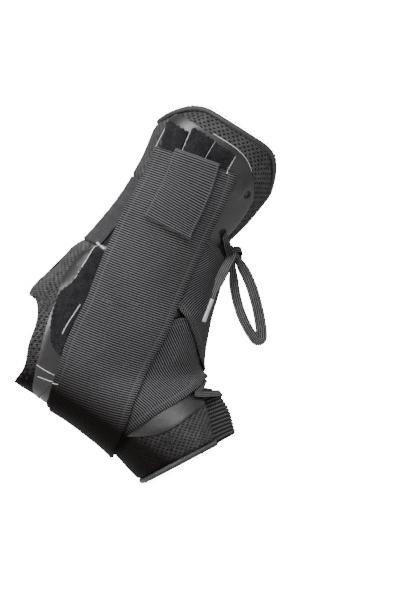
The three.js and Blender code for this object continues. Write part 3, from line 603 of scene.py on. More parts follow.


# Painted shade: cloth near the sole is painted darker and browner, standing in for the shade that falls
# under the sole. The height along the lean is x sin + z cos in mm, and
# the group gives ((high - height) / (high - low))^1.4.
def paintedSoleShadeGroup():
    inputs = {"Low": looks["sole"]["low"], "High": looks["sole"]["high"]}
    group, given, result = newGroup("paintedSoleShade", inputs, ["Dark"])
    split = group.nodes.new("ShaderNodeSeparateXYZ")
    group.links.new(objectPlace(group), split.inputs[0])
    upward = calc(group, "MULTIPLY", split.outputs[0], 1000 * math.sin(lean))
    level = calc(group, "MULTIPLY_ADD", split.outputs[2], 1000 * math.cos(lean), upward)
    span = calc(group, "SUBTRACT", given["High"], given["Low"])
    share = calc(group, "DIVIDE", calc(group, "SUBTRACT", given["High"], level), span, clamp=True)
    group.links.new(calc(group, "POWER", share, 1.4), result["Dark"])
    return group


paintedSoleShade = paintedSoleShadeGroup()


# The colour taken almost to the painted sole shade's colour by the group's share.
def withPaintedSoleShade(tree, colour, **levels):
    share = calc(tree, "MULTIPLY", useGroup(tree, paintedSoleShade, **levels)[0], 0.97)
    return mixColour(tree, share, colour, looks["sole"]["colour"])


# Ribs across the webbing, with threads that don't sink into the grooves. The grooves are painted near
# black as shade between the ridges.
def webbingMaterial():
    look = looks["webbing"]
    material, tree, shader = newTree("webbing", 0.6, specular=0.05, sheen=0.005)
    across, down, tabEdgeHighlight = clothPlace(tree)
    rib = {"Along": down, "Across": across, "Pitch": look["pitch"], "Thread": 0.8, "Sharp": 1.3, "Break": 0.0}
    ridge = useGroup(tree, ribs, **rib)[0]
    # a line of stitches in from each woven edge
    inset = calc(tree, "ABSOLUTE", calc(tree, "SUBTRACT", calc(tree, "ABSOLUTE", across), 22.6))
    stitched = calc(tree, "MULTIPLY_ADD", calc(tree, "SUBTRACT", 0.45, inset), 4.0, 0.0, clamp=True)
    mottle = calc(tree, "MULTIPLY_ADD", noise(tree, objectPlace(tree), 35.0), 0.4, 0.75)
    stitched = calc(tree, "MULTIPLY", stitched, 0.5)
    # stitches, and the tabs' borders painted lighter as an edge highlight
    thread = calc(tree, "MAXIMUM", stitched, calc(tree, "MULTIPLY", tabEdgeHighlight, 0.75))
    level = calc(tree, "MULTIPLY", calc(tree, "MAXIMUM", ridge, thread), mottle, clamp=True)
    # grooves painted near black as shade
    colour = mixColour(tree, level, look["groove"], look["ridge"])
    # painted shade near the sole
    tree.links.new(withPaintedSoleShade(tree, colour), shader.inputs["Base Color"])
    addBump(tree, shader, ridge, 0.3, 0.0004)
    return material


# Fine threads with a lattice of holes.
def meshMaterial():
    look = looks["mesh"]
    material, tree, shader = newTree("openMesh", 0.7, specular=0.08, sheen=0.01)
    across, down, _ = clothPlace(tree)
    hole = useGroup(tree, holes, Along=down, Across=across, Pitch=look["pitch"], Stretch=1.5, Radius=0.13)[0]
    fine = useGroup(tree, ribs, Along=down, Across=across, Pitch=0.9, Thread=0.9, Sharp=1.0)[0]
    mottle = noise(tree, objectPlace(tree), 220.0, 3.0)
    cloth = mixColour(tree, calc(tree, "MULTIPLY", fine, mottle), (0.02, 0.02, 0.021), look["thread"])
    colour = mixColour(tree, hole, cloth, look["hole"])
    # painted shade near the sole
    tree.links.new(withPaintedSoleShade(tree, colour), shader.inputs["Base Color"])
    height = calc(tree, "SUBTRACT", calc(tree, "MULTIPLY", fine, 0.3), hole)
    addBump(tree, shader, height, 0.7, 0.0008)
    return material


# Smooth dark leather with a fine grain and a cloudy shine.
def facingMaterial():
    look = looks["facing"]
    material, tree, shader = newTree("syntheticLeather", look["roughness"], specular=0.8)
    place = objectPlace(tree)
    cloudy = calc(tree, "MULTIPLY_ADD", noise(tree, place, 40.0), 0.5, 0.75)
    colour = mixColour(tree, cloudy, (0.004, 0.0037, 0.0036), look["colour"])
    # painted shade near the sole, fading in a little lower down
    tree.links.new(withPaintedSoleShade(tree, colour, Low=-64.0, High=-38.0), shader.inputs["Base Color"])
    rough = calc(tree, "MULTIPLY_ADD", noise(tree, place, 90.0), 0.16, look["roughness"] - 0.08)
    tree.links.new(rough, shader.inputs["Roughness"])
    addBump(tree, shader, noise(tree, place, 2600.0, 3.0, 0.6), 0.22, 0.0004)
    return material


# Loops as fine noise to the third power, thinned in patches.
def pileMaterial():
    look = looks["pile"]
    material, tree, shader = newTree("loopPile", 0.95, specular=0.05, sheen=0.02)
    place = objectPlace(tree)
    fuzz = noise(tree, place, 1500.0, 4.0, 0.75)
    patch = noise(tree, place, 140.0, 2.0)
    thick = calc(tree, "MULTIPLY_ADD", patch, 1.4, 0.25)
    level = calc(tree, "MULTIPLY", calc(tree, "POWER", fuzz, 3.0), thick, clamp=True)
    tree.links.new(mixColour(tree, level, look["low"], look["high"]), shader.inputs["Base Color"])
    addBump(tree, shader, fuzz, 1.0, 0.0012)
    return material


# Ribs across the cloth, or lengthwise, with a mottle over them. The grooves are painted dark as shade.
def ribbedMaterial(name, look, roughness, lengthwise=False, sharp=1.0, strength=0.5, broken=0.12):
    material, tree, shader = newTree(name, roughness, specular=0.1, sheen=0.01)
    across, down, _ = clothPlace(tree)
    first, second = (across, down) if lengthwise else (down, across)
    rib = {"Along": first, "Across": second, "Pitch": look["pitch"], "Thread": 0.7}
    ridge = useGroup(tree, ribs, **rib, Sharp=sharp, Break=broken)[0]
    mottle = calc(tree, "MULTIPLY_ADD", noise(tree, objectPlace(tree), 300.0), 0.6, 0.65)
    level = calc(tree, "MULTIPLY", ridge, mottle, clamp=True)
    # grooves painted dark as shade between the ridges
    tree.links.new(mixColour(tree, level, look["groove"], look["ridge"]), shader.inputs["Base Color"])
    addBump(tree, shader, ridge, strength, 0.0004)
    return material


# Satin with a fine weave.
def bindingMaterial():
    look = looks["binding"]
    material, tree, shader = newTree("satinBinding", 0.42, specular=0.3, sheen=0.01)
    across, down, _ = clothPlace(tree)
    fine = useGroup(tree, ribs, Along=down, Across=across, Pitch=0.6, Thread=0.6, Sharp=1.0)[0]
    mottle = calc(tree, "MULTIPLY_ADD", noise(tree, objectPlace(tree), 180.0), 0.8, 0.5)
    level = calc(tree, "MULTIPLY", fine, mottle, clamp=True)
    tree.links.new(mixColour(tree, level, look["low"], look["high"]), shader.inputs["Base Color"])
    addBump(tree, shader, fine, 0.3, 0.0003)
    return material


# Knitted loops, painted dark as shade where the third cloth value says that a groove runs.
def tongueMaterial():
    look = looks["tongue"]
    material, tree, shader = newTree("chunkyKnit", 0.85, specular=0.08, sheen=0.01)
    across, down, groove = clothPlace(tree)
    loops = useGroup(tree, ribs, Along=across, Across=down, Pitch=1.6, Thread=1.1, Sharp=0.8)[0]
    level = calc(tree, "MULTIPLY", groove, calc(tree, "MULTIPLY_ADD", loops, 0.7, 0.3), clamp=True)
    tree.links.new(mixColour(tree, level, look["groove"], look["ridge"]), shader.inputs["Base Color"])
    addBump(tree, shader, loops, 0.6, 0.0006)
    return material


# One colour, darker by up to the spread, with a grain of noise in shine and bump.
def plainMaterial(name, colour, roughness, grain=700.0, spread=0.35, **values):
    material, tree, shader = newTree(name, roughness, **values)
    place = objectPlace(tree)
    level = calc(tree, "MULTIPLY_ADD", noise(tree, place, grain), spread, 1 - spread / 2, clamp=True)
    low = tuple(value * (1 - spread) for value in colour)
    tree.links.new(mixColour(tree, level, low, colour), shader.inputs["Base Color"])
    rough = calc(tree, "MULTIPLY_ADD", noise(tree, place, grain * 0.4), 0.2, roughness - 0.1)
    tree.links.new(rough, shader.inputs["Roughness"])
    addBump(tree, shader, noise(tree, place, grain * 1.7), 0.15, 0.0003)
    return material


materials = {
    "webbing": webbingMaterial(),
    "mesh": meshMaterial(),
    "facing": facingMaterial(),
    "pile": pileMaterial(),
    "elastic": ribbedMaterial("ribbedElastic", looks["elastic"], 0.75, lengthwise=True),
    "binding": bindingMaterial(),
    "tongue": tongueMaterial(),
    "lace": ribbedMaterial("wovenLace", looks["lace"], 0.75, lengthwise=True, sharp=0.9, broken=0.02),
    "eyelet": plainMaterial("blackEyelet", (0.012, 0.012, 0.013), 0.4, metallic=0.4),
    # pale grey: the clear tip, with its highlight painted in over the black lace
    "aglet": plainMaterial("clearTipPaintedHighlight", (0.4, 0.4, 0.42), 0.2, spread=0.5, coat=0.4),
    # pale colour: a painted highlight along edges
    "paintedEdgeHighlight": plainMaterial("paleEdge", (0.5, 0.5, 0.52), 0.35, spread=0.3),
    "thread": plainMaterial("greyThread", (0.06, 0.06, 0.064), 0.6, grain=2500.0),
    # near black: the heel slits, and painted shade beside the toe fold and in the eyelet holes
    "slitsAndShade": plainMaterial("blackSlitsAndShade", (0.008, 0.008, 0.009), 0.8, grain=2500.0),
}
print("materials ready")

under = Layers()

# Padded mesh boot, in two halves
boot = {
    "wall": 3.0, "pinched": 1.6, "collarTop": 0.4, "backFall": 0.76, "backShare": 0.3, "frontFall": 0.84,
    "frontShare": 0.72, "heelStation": 7.65, "heelReach": 1.6, "heelAngle": 0.79, "seam": 0.006,
    "bandTop": 2.45, "bandBottom": 4.2, "bandShare": 0.15, "rows": 210, "columns": 72,
}
padding = {
    "foldFrom": 4.3, "foldTo": 6.5, "fold": 0.8, "foldPerStation": 5.2, "fine": 0.15, "finePerStation": 17,
    "stripFrom": 5.8, "stripTo": 9.6, "strip": 0.5, "stripReach": 0.32, "toeFold": 0.9, "toeStation": 12.55,
    "ripple": 0.22, "collarRoll": 0.3, "roll": 1.8,
}


# The collar's top edge: a base, plus a fall at the back by a square and at the front by a cube.
def collarEdge(share):
    back = np.maximum(0, 1 - share / boot["backShare"]) ** 2
    front = np.maximum(0, (share - boot["frontShare"]) / (flangeShare[0] - boot["frontShare"])) ** 3
    return boot["collarTop"] + boot["backFall"] * back + boot["frontFall"] * front


# The heel hole's edge: angle * sqrt(1 - far^3), or the back seam where there is no hole.
def heelEdge(station):
    far = np.abs(station - boot["heelStation"]) / boot["heelReach"]
    return np.maximum(boot["seam"], boot["heelAngle"] * np.sqrt(np.maximum(0, 1 - far ** 3)))


# Rows run from the collar's curve to the toe edge, columns from the back seam or hole to the flange.
def bootGrid():
    down, side = shareGrid(boot["rows"], boot["columns"])
    station = boot["collarTop"] + (lastStation - boot["collarTop"]) * down
    for _ in range(5):
        edge = heelEdge(station)
        angle = edge + (angleOf(along(flangeShare, station)) - edge) * side
        top = collarEdge(shareOf(angle))
        station = top + (lastStation - top) * down
    return {"station": station, "angle": angle}


# The padding swells between the seams, is pinched under the elastic, and gathers into small
# folds above the heel hole.
def bootOffset(station, angle):
    share = shareOf(angle)
    inBand = smooth(station, boot["bandTop"] - 0.12, boot["bandTop"] + 0.05)
    inBand = inBand * (1 - smooth(station, boot["bandBottom"] - 0.05, boot["bandBottom"] + 0.14))
    pinch = inBand * (1 - smooth(share, boot["bandShare"] - 0.02, boot["bandShare"] + 0.03))
    offset = boot["wall"] - (boot["wall"] - boot["pinched"]) * pinch
    first, last = padding["foldFrom"], padding["foldTo"]
    backZone = (1 - smooth(share, 0.06, 0.2)) * smooth(station, first, first + 0.2)
    folds = padding["fold"] * np.sin((station - first) * padding["foldPerStation"] + 3 * share)
    folds = folds + padding["fine"] * np.sin(station * padding["finePerStation"] + 8 * share)
    offset = offset + backZone * (1 - smooth(station, last - 0.4, last)) * folds
    first, last = padding["stripFrom"], padding["stripTo"]
    strip = padding["strip"] * smooth(station, first, first + 0.6) * (1 - smooth(station, last - 0.6, last))
    margin = np.clip((angle - heelEdge(station)) / padding["stripReach"], 0, 1)
    offset = offset + strip * np.sin(np.pi * margin)
    toeFold = padding["toeFold"] * bump(station, padding["toeStation"], 0.35)
    toeFold = toeFold * (bump(share, 0.455, 0.016) - bump(share, 0.425, 0.016))
    ripple = padding["ripple"] * smooth(station, 12.0, 12.3) * np.sin(share * 46 + station * 9)
    collarRoll = padding["collarRoll"] * (1 - smooth(station, 0.9, 1.9)) * np.sin(share * 17 + station * 5)
    return offset + toeFold + ripple * smooth(share, 0.1, 0.3) + collarRoll


for name, sign in bothSides:
    grid = bootGrid()
    cloth = flatCloth(grid)
    grid["angle"] = grid["angle"] * sign
    offset = bootOffset(grid["station"], np.abs(grid["angle"]))
    edge = rounded(fromBorder(form(grid["station"], grid["angle"])), padding["roll"])
    inner = 0.5 * (1 - edge) * offset * 0.8
    outer = offset * (0.6 + 0.4 * edge)
    skins = np.stack([raised(grid["station"], grid["angle"], offset) for offset in (outer, inner)])
    faces = shellFaces(*offset.shape)
    under.add(skins[0], quads(*offset.shape))
    cloth = np.concatenate([cloth, cloth])
    piece = makeMesh("meshBoot_" + name, skins, faces, cloth, "mesh", ["mesh_boot_" + name])
print("mesh boot ready")

# Facing of synthetic leather, with a soft dome behind the top eyelet
facing = {
    "wall": 0.9, "top": 0.74, "topFall": 0.76, "lobe": 12.12, "lobeShare": 0.42, "lobeCurve": 4.1,
    "domeStation": 1.51, "domeShare": 0.771, "dome": 2.2,
}


# The top edge falls by a cube towards the front.
def facingTop(share):
    return facing["top"] + facing["topFall"] * np.maximum(0, (share - 0.5) / 0.4) ** 3


# Rows run from the top edge to a rounded lobe at the toes, columns between its back and front edges.
def facingGrid(rows=150, columns=56):
    down, side = shareGrid(rows, columns)
    station = facing["top"] + (facing["lobe"] - facing["top"]) * down
    for _ in range(6):
        back, front = along(facingBack, station), along(facingFront, station)
        share = back + (front - back) * side
        top = facingTop(share)
        end = facing["lobe"] - facing["lobeCurve"] * (share - facing["lobeShare"]) ** 2
        station = top + (end - top) * down
    return {"station": station, "angle": np.maximum(boot["seam"], angleOf(share))}


bootTree = under.tree()
for name, sign in bothSides:
    grid = facingGrid()
    cloth = flatCloth(grid)
    share = shareOf(grid["angle"])
    dome = 1.35 * bump(grid["station"], facing["domeStation"], 0.26) * bump(share, facing["domeShare"], 0.045)
    dome = facing["dome"] * np.clip(dome, 0, 1)
    grid["angle"] = grid["angle"] * sign
    lift = settle(grid, bootTree, 0.5, gap=0.05, rounds=6, spreadOver=0)
    makeSheet("facing_" + name, grid, lift, facing["wall"], cloth, "facing", ["facing_" + name], wave=dome)
print("facing ready")

# Elastic round the back
elastic = {"wall": 1.2, "rows": 45, "columns": 61, "floor": 0.8, "wrinkle": 0.12}
halfAngle = float(angleOf(boot["bandShare"]))
bandDown = np.linspace(boot["bandTop"], boot["bandBottom"], elastic["rows"])
bandSide = np.linspace(-halfAngle, halfAngle, elastic["columns"])
grid = dict(zip(("station", "angle"), np.meshgrid(bandDown, bandSide, indexing="ij")))
lift = settle(grid, under.tree(), elastic["floor"], gap=0.08, rounds=12)
wrinkle = elastic["wrinkle"] * np.sin(grid["station"] * 24 + grid["angle"] * 2)
cloth = flatCloth(grid)
makeSheet("backElastic", grid, lift, elastic["wall"], cloth, "elastic", ["back_elastic"], 0.7, wrinkle)

# Loop pile: three bands at the top and a patch behind the strap
piles = {
    "wall": 1.1, "end": 4.15, "floor": 1.0, "gap": 0.05, "fuzz": 0.18,
    "bands": [
        {"top": 0.98, "share": (0.083, 0.252), "lowShare": (0.172, 0.29)},
        {"top": 0.83, "share": (0.263, 0.438), "lowShare": (0.3, 0.44)},
        {"top": 0.86, "share": (0.45, 0.612), "lowShare": (0.45, 0.6)},
    ],
    "patchStations": [4.27, 5.3, 5.83, 6.4, 7.05, 7.6, 8.05],
    "patchBack": [0.128, 0.175, 0.158, 0.189, 0.232, 0.272, 0.335], "patchFront": 0.5,
}
fuzzMaker = np.random.default_rng(7)
pileTree = under.tree()


# A piece of pile: its loops stand up by a random height.
def makePile(name, grid, node):
    lift = settle(grid, pileTree, piles["floor"], gap=piles["gap"], rounds=4)
    fuzz = piles["fuzz"] * fuzzMaker.random(lift.shape)
    makeSheet(name, grid, lift, piles["wall"], flatCloth(grid), "pile", [node], 0.6, fuzz)


for name, sign in bothSides:
    for number, row in enumerate(piles["bands"], 1):
        down, side = shareGrid(90, 26)
        ease = np.minimum(1, down * 2)
        low = row["share"][0] + (row["lowShare"][0] - row["share"][0]) * ease
        high = row["share"][1] + (row["lowShare"][1] - row["share"][1]) * ease
        share = low + (high - low) * side + 0.0022 * np.sin(down * 150 + number) * (np.abs(side - 0.5) > 0.47)
        ragged = 0.018 * np.sin(side * 31 + number) * (1 - down)
        station = row["top"] + ragged + (piles["end"] - row["top"]) * down
        grid = {"station": station, "angle": sign * angleOf(share)}
        makePile(f"pileBand_{name}_{number}", grid, f"pile_band_{name}_{number}")
    at = np.linspace(0, len(piles["patchStations"]) - 1, 80)
    down, side = np.meshgrid(at, np.linspace(0, 1, 50), indexing="ij")
    station = along(piles["patchStations"], down)
    back = along(piles["patchBack"], down) + 0.0025 * np.sin(down * 22)
    grid = {"station": station, "angle": sign * angleOf(back + (piles["patchFront"] - back) * side)}
    makePile("pilePatch_" + name, grid, "pile_patch_" + name)
print("elastic and pile ready")

# Knitted tongue: chunky ribs across it where it swells out at the toes
tongue = {
    "top": 2.2, "end": 13.2, "margin": 0.3, "dip": 2.0, "swell": 5.6, "wall": 2.5,
    "ribPitch": 2.6, "ribHeight": 0.7,
}


# Rows from top to end, columns across the opening and a margin past each flange.
def tongueGrid(rows=420, columns=61):
    station = np.linspace(tongue["top"], tongue["end"], rows)
    half = math.pi - angleOf(along(flangeShare, np.minimum(station, lastStation))) + tongue["margin"]
    side = np.linspace(-1, 1, columns)
    return {"station": station[:, None] + 0 * side[None, :], "angle": math.pi + half[:, None] * side[None, :]}


grid = tongueGrid()
opening = math.pi - angleOf(along(flangeShare, np.minimum(grid["station"], lastStation)))
inward = np.clip(1 - np.abs(grid["angle"] - math.pi) / opening, 0, 1)
offset = -tongue["dip"] + tongue["swell"] * smooth(grid["station"], 8.4, 10.8) * smooth(inward, 0, 0.6)
cloth = flatCloth(grid)
ribWave = 0.5 + 0.5 * np.cos(2 * np.pi * cloth[..., 1] / tongue["ribPitch"])
# third cloth value: the rib wave, low in the grooves, which the knit's colour paints dark as shade
cloth = np.concatenate([cloth, ribWave[..., None] ** 0.7], axis=-1)
offset = offset - tongue["ribHeight"] * (1 - ribWave)
makeSheet("knitTongue", grid, offset - tongue["wall"], tongue["wall"], cloth, "tongue", ["knit_tongue"], 1.0)
print("tongue ready")

# Edge bindings: a soft roll over each edge
binding = {"width": 3.6, "gap": 0.25, "bulge": 0.5, "end": 9.6, "sections": 14, "columns": 8}


# The roll's section is an oval round the cloth's edge. Its cloth place runs round and along.
def makeBinding(name, line, nodes):
    across = np.linspace(0, 2 * np.pi, binding["sections"], endpoint=False)
    last = binding["columns"]
    grid = band(line, binding["gap"], binding["gap"] + binding["width"], last)
    middleWall = boot["wall"] / 2
    halfWall = middleWall + binding["bulge"]
    column = (0.5 - 0.5 * np.cos(across)) * last
    low = np.clip(np.floor(column), 0, last - 1).astype(int)
    share = column - low
    stationRing = grid["station"][:, low] * (1 - share) + grid["station"][:, low + 1] * share
    angleRing = grid["angle"][:, low] * (1 - share) + grid["angle"][:, low + 1] * share
    offset = middleWall + halfWall * np.sign(np.sin(across)) * np.abs(np.sin(across)) ** 0.75
    pucker = 0.1 * np.sin(line["length"] * 1.9)[:, None] * (np.sin(across) > 0)
    points = raised(stationRing, angleRing, np.maximum(offset[None, :] + pucker, 0.02))
    faces = tubeFaces(*stationRing.shape)
    under.add(points, faces[0])
    return makeMesh(name, points, faces, joined(across * 3, line["length"][:, None]), "binding", nodes)


flangeStations = np.linspace(1.3, binding["end"], 15)
flangeDown = np.stack([flangeStations, angleOf(along(flangeShare, flangeStations))], axis=1)
roundAngles = np.linspace(float(angleOf(0.974)), 0.06, 25)
collarRound = np.stack([collarEdge(shareOf(roundAngles)), roundAngles], axis=1)
half = np.vstack([flangeDown[::-1], collarRound])
whole = np.vstack([half, [[float(collarEdge(np.array(0.0))), 0]], (half * [1, -1])[::-1]])
collarLine = evenly(whole, 420)
makeBinding("collarBinding", collarLine, ["collar_binding"])
toeAngle = float(angleOf(flangeShare[-1]))
toeLine = evenly([[lastStation, angle] for angle in np.linspace(-toeAngle, toeAngle, 17)], 160)
makeBinding("toeBinding", toeLine, ["toe_binding"])
print("bindings ready")

# Eyelets: a small rolled ring on each flange
eyelets = {
    "stations": [1.49, 2.59, 3.75, 4.97, 6.6, 10.65], "shares": [0.837, 0.882, 0.905, 0.91, 0.905, 0.845],
    "bore": 1.6, "rim": 2.7, "sections": 10, "steps": 28,
}


# A ring: a half-round profile turned about the surface's normal at the eyelet.
def makeEyelet(name, station, angle, tree, nodes):
    place, turn = np.array([[station]]), np.array([[angle]])
    centre = form(place, turn)[0, 0]
    byStation, _, normal = (value[0, 0] for value in slopes(place, turn))
    sideways = unit(np.cross(normal, byStation))
    forward = np.cross(sideways, normal)
    seat = float(heights(place, turn, tree)[0, 0]) - 0.1
    around = np.linspace(0, 2 * np.pi, eyelets["steps"], endpoint=False)[:, None]
    outward = sideways * np.cos(around) + forward * np.sin(around)
    section = np.linspace(0, 2 * np.pi, eyelets["sections"], endpoint=False)[None, :]
    middle = (eyelets["bore"] + eyelets["rim"]) / 2
    radius = middle + (eyelets["rim"] - eyelets["bore"]) / 2 * np.cos(section)
    height = seat + 0.25 + 0.45 * np.sin(section)
    points = centre + normal * height[..., None] + outward[:, None] * radius[..., None]
    rows, columns = points.shape[:2]
    ring = quads(rows + 1, columns, closed=True) % (rows * columns)
    makeMesh(name, points, ring, joined(radius * around, height), "eyelet", nodes)
    under.add(points, ring)
    # a dark disc in the ring: painted shade in the hole
    disc = np.linspace(0, eyelets["bore"] + 0.3, 4)[:, None]
    face = centre + normal * (seat + 0.14) + outward[:, None] * disc
    low = face - normal * 0.25
    plug = np.stack([face[:, ::-1], low], axis=1).reshape(len(around), -1, 3)
    rows, columns = plug.shape[:2]
    cells = quads(rows + 1, columns) % (rows * columns)
    makeMesh(name + "_paintedHoleShade", plug, cells, np.zeros((rows, columns, 2)), "slitsAndShade", slot="eyelet")


flangeTree = under.tree()
for name, sign in bothSides:
    for number, (station, share) in enumerate(zip(eyelets["stations"], eyelets["shares"]), 1):
        label = f"eyelet_{name}_{number}"
        makeEyelet(label, station, sign * float(angleOf(share)), flangeTree, [label])
print("eyelets ready")


# A flat cord: an oval section with lengthwise ribs carried along points, its flat facing a given way.
def flatCord(points, facings, widths, wall, sections=20):
    ahead = unit(np.gradient(points, axis=0))
    flat = unit(facings - ahead * np.sum(facings * ahead, axis=1, keepdims=True))
    wide = np.cross(ahead, flat)
    around = np.linspace(0, 2 * np.pi, sections, endpoint=False)
    across = np.sign(np.cos(around)) * np.abs(np.cos(around)) ** 0.8
    thick = np.sign(np.sin(around)) * np.abs(np.sin(around)) ** 0.6
    aside = widths[:, None] / 2 * across
    ring = points[:, None] + wide[:, None] * aside[..., None] + flat[:, None] * (wall / 2 * thick)[:, None]
    return ring, tubeFaces(*ring.shape[:2]), joined(aside, lengths(points)[:, None])


# The lace that crosses between the eyelets, laid on the flanges and drawn narrow at each eyelet
lace = {"wall": 1.3, "width": 6.4, "held": 4.6, "drawn": 2.8, "knotStation": 2.95, "crossing": 24}
heldTree = under.tree()


# Rows of station, angle, extra height and width, from the lowest eyelet up to the knot, side by side.
def laceHalf(far, high):
    rows = []
    side = far

    def angleAt(level, other):
        angle = float(angleOf(eyelets["shares"][level]))
        return 2 * math.pi - angle if other else angle

    for level in range(5, 0, -1):
        start = np.array([eyelets["stations"][level], angleAt(level, side)])
        rows.append([*start, lace["wall"] / 2, lace["drawn"]])
        if level == 1:
            for share in (0.2, 0.4, 0.6, 0.8, 1.0):
                station = start[0] + (lace["knotStation"] - start[0]) * share
                angle = start[1] + (math.pi - start[1]) * share * 0.88
                rows.append([station, angle, 1.6 * share, lace["drawn"]])
            break
        end = np.array([eyelets["stations"][level - 1], angleAt(level - 1, not side)])
        for step in range(1, lace["crossing"]):
            share = step / lace["crossing"]
            over = (lace["wall"] + 0.4) * max(0, min(1, 2 - abs(share - 0.5) / 0.15)) if high else 0
            ease = float(rounded(min(share, 1 - share), 0.16))
            width = lace["drawn"] + (lace["held"] - lace["drawn"]) * ease
            rows.append([*(start + (end - start) * share), over, width])
        side = not side
    return rows


lowestAngle = float(angleOf(eyelets["shares"][5]))
barAngles = np.linspace(lowestAngle, 2 * math.pi - lowestAngle, lace["crossing"])[1:-1]
bar = [[eyelets["stations"][5], angle, 0, lace["held"]] for angle in barAngles]
held = np.array([*laceHalf(False, True)[::-1], *bar, *laceHalf(True, False)])
sideways = {"station": held[:, 0], "angle": held[:, 1], "length": lengths(form(held[:, 0], held[:, 1]))}
aside = band(sideways, -0.5, 0.5, 4, held[:, 3])
clear = heights(aside["station"], aside["angle"], heldTree).max(axis=1) + 0.15
for _ in range(2):
    clear = np.maximum(clear, np.maximum(np.roll(clear, 1), np.roll(clear, -1)))
for _ in range(14):
    clear = np.maximum(clear, 0.5 * clear + 0.25 * (np.roll(clear, 1) + np.roll(clear, -1)))
points = raised(held[:, 0], held[:, 1], clear + lace["wall"] / 2 + held[:, 2])
ring, faces, cloth = flatCord(points, slopes(held[:, 0], held[:, 1])[2], held[:, 3], lace["wall"])
makeMesh("lace", ring, faces, cloth, "lace", ["lace"])
under.add(ring, faces[0])
print("held lace ready")

# Straps. Each row of a route: station, share, lap, width as a share of the strap's
straps = {
    "width": 53, "wall": 1.5, "rows": 330, "columns": 44, "turning": 30, "floor": 1.5,
    "gap": 0.12, "rounds": 140, "spread": 2, "sewnShare": 0.2, "apart": 60, "edge": 0.12,
}
outerRoute = [
    [3.6, 0.66, 0, 0.88], [3.85, 0.82, 0, 0.88], [4.15, 0.94, 0, 0.88], [4.65, 0.998, 0, 0.9],
    [5.7, 0.965, 1, 0.95], [7.1, 0.85, 1, 1], [8.7, 0.69, 1, 1], [9.9, 0.48, 1, 1], [10.75, 0.24, 1, 1],
    [11.25, 0.06, 1, 1], [11.4, 0.0, 2, 1],
    [11.09, 0.092, 2, 1], [10.04, 0.314, 2, 1], [8.66, 0.501, 2, 1], [5.92, 0.567, 2, 1], [4.31, 0.522, 2, 1],
    [3.0, 0.463, 2, 1], [1.44, 0.375, 2, 1],
]
innerRoute = [
    [4.0, 0.66, 0, 0.88], [4.55, 0.82, 0, 0.88], [5.15, 0.94, 0, 0.88], [5.85, 0.998, 0, 0.9],
    [6.72, 0.925, 1, 1], [8.61, 0.71, 1, 1], [9.63, 0.536, 1, 1], [10.43, 0.323, 1, 1],
    [11.0, 0.1, 1, 1], [11.3, 0.0, 2, 1],
    [11.09, 0.092, 2, 1], [10.04, 0.314, 2, 1], [8.66, 0.501, 2, 1], [5.92, 0.567, 2, 1], [4.31, 0.522, 2, 1],
    [3.0, 0.463, 2, 1], [1.44, 0.375, 2, 1],
]


# The angle on the first side, on the second side as 2 pi - angle, or again on the first as 2 pi + angle.
def lapAngle(share, lap):
    angle = float(angleOf(share))
    return (angle, 2 * math.pi - angle, 2 * math.pi + angle)[lap]


# The strap's middle line and the grid laid square to it.
def strapGrid(route, sign):
    middle = [[station, lapAngle(share, lap)] for station, share, lap, _ in route]
    line = evenly(middle, straps["rows"], straps["turning"])
    scale = along([row[3] for row in route], line["row"])
    half = straps["width"] / 2
    grid = band(line, -half, half, straps["columns"], scale)
    grid["angle"] = grid["angle"] * sign
    line["angle"] = line["angle"] * sign
    return grid, line


# Where the ribs run: length is measured down each column, so that the ribs keep their spacing at
# the sole's corners. Columns agree halfway up the first side and again at the free end.
def ribPlace(points, line, sign):
    down = runs(points)[0]
    middle = points.shape[1] // 2
    turned = int(np.argmin(np.abs(line["angle"] * sign - 2 * math.pi)))
    first = turned - round(0.27 * straps["rows"])
    before = down[first] - down[first, middle]
    after = down[-1] - down[-1, middle]
    share = smooth(np.arange(len(down)), turned - 24, turned + 24)[:, None]
    return down - before * (1 - share) - after * share


# A strap is laid over everything below it, then its later rows over its own sewn start.
def makeStrap(name, route, sign, nodes):
    grid, line = strapGrid(route, sign)
    lift = settle(grid, under.tree(), straps["floor"], straps["gap"], straps["rounds"], straps["spread"])
    sewn = round(straps["rows"] * straps["sewnShare"])
    free = sewn + straps["apart"]
    base = form(grid["station"], grid["angle"])
    normal = slopes(grid["station"], grid["angle"])[2]
    top = base + normal * (lift + straps["wall"])[..., None]
    own = Layers()
    own.add(top[:sewn], quads(sewn, top.shape[1]))
    reached = heights(grid["station"][free:], grid["angle"][free:], own.tree()) + straps["gap"]
    need = lift.copy()
    need[free:] = np.maximum(need[free:], reached)
    lift = drawTaut(spread(need, straps["spread"]), lift, straps["rounds"])
    cloth = joined(grid["offsets"], ribPlace(base + normal * lift[..., None], line, sign))
    # the woven edges and their stitch lines stand slightly proud
    edge = np.abs(grid["offsets"]) / (straps["width"] / 2)
    wave = straps["edge"] * (bump(edge, 0.96, 0.03) - bump(edge, 0.853, 0.02))
    makeSheet(name, grid, lift, straps["wall"], cloth, "webbing", nodes, 0.7, wave)
    return line


innerLine = makeStrap("strapInner", innerRoute, -1, ["strap_inner"])
outerLine = makeStrap("strapOuter", outerRoute, 1, ["strap_outer"])
print("straps ready")
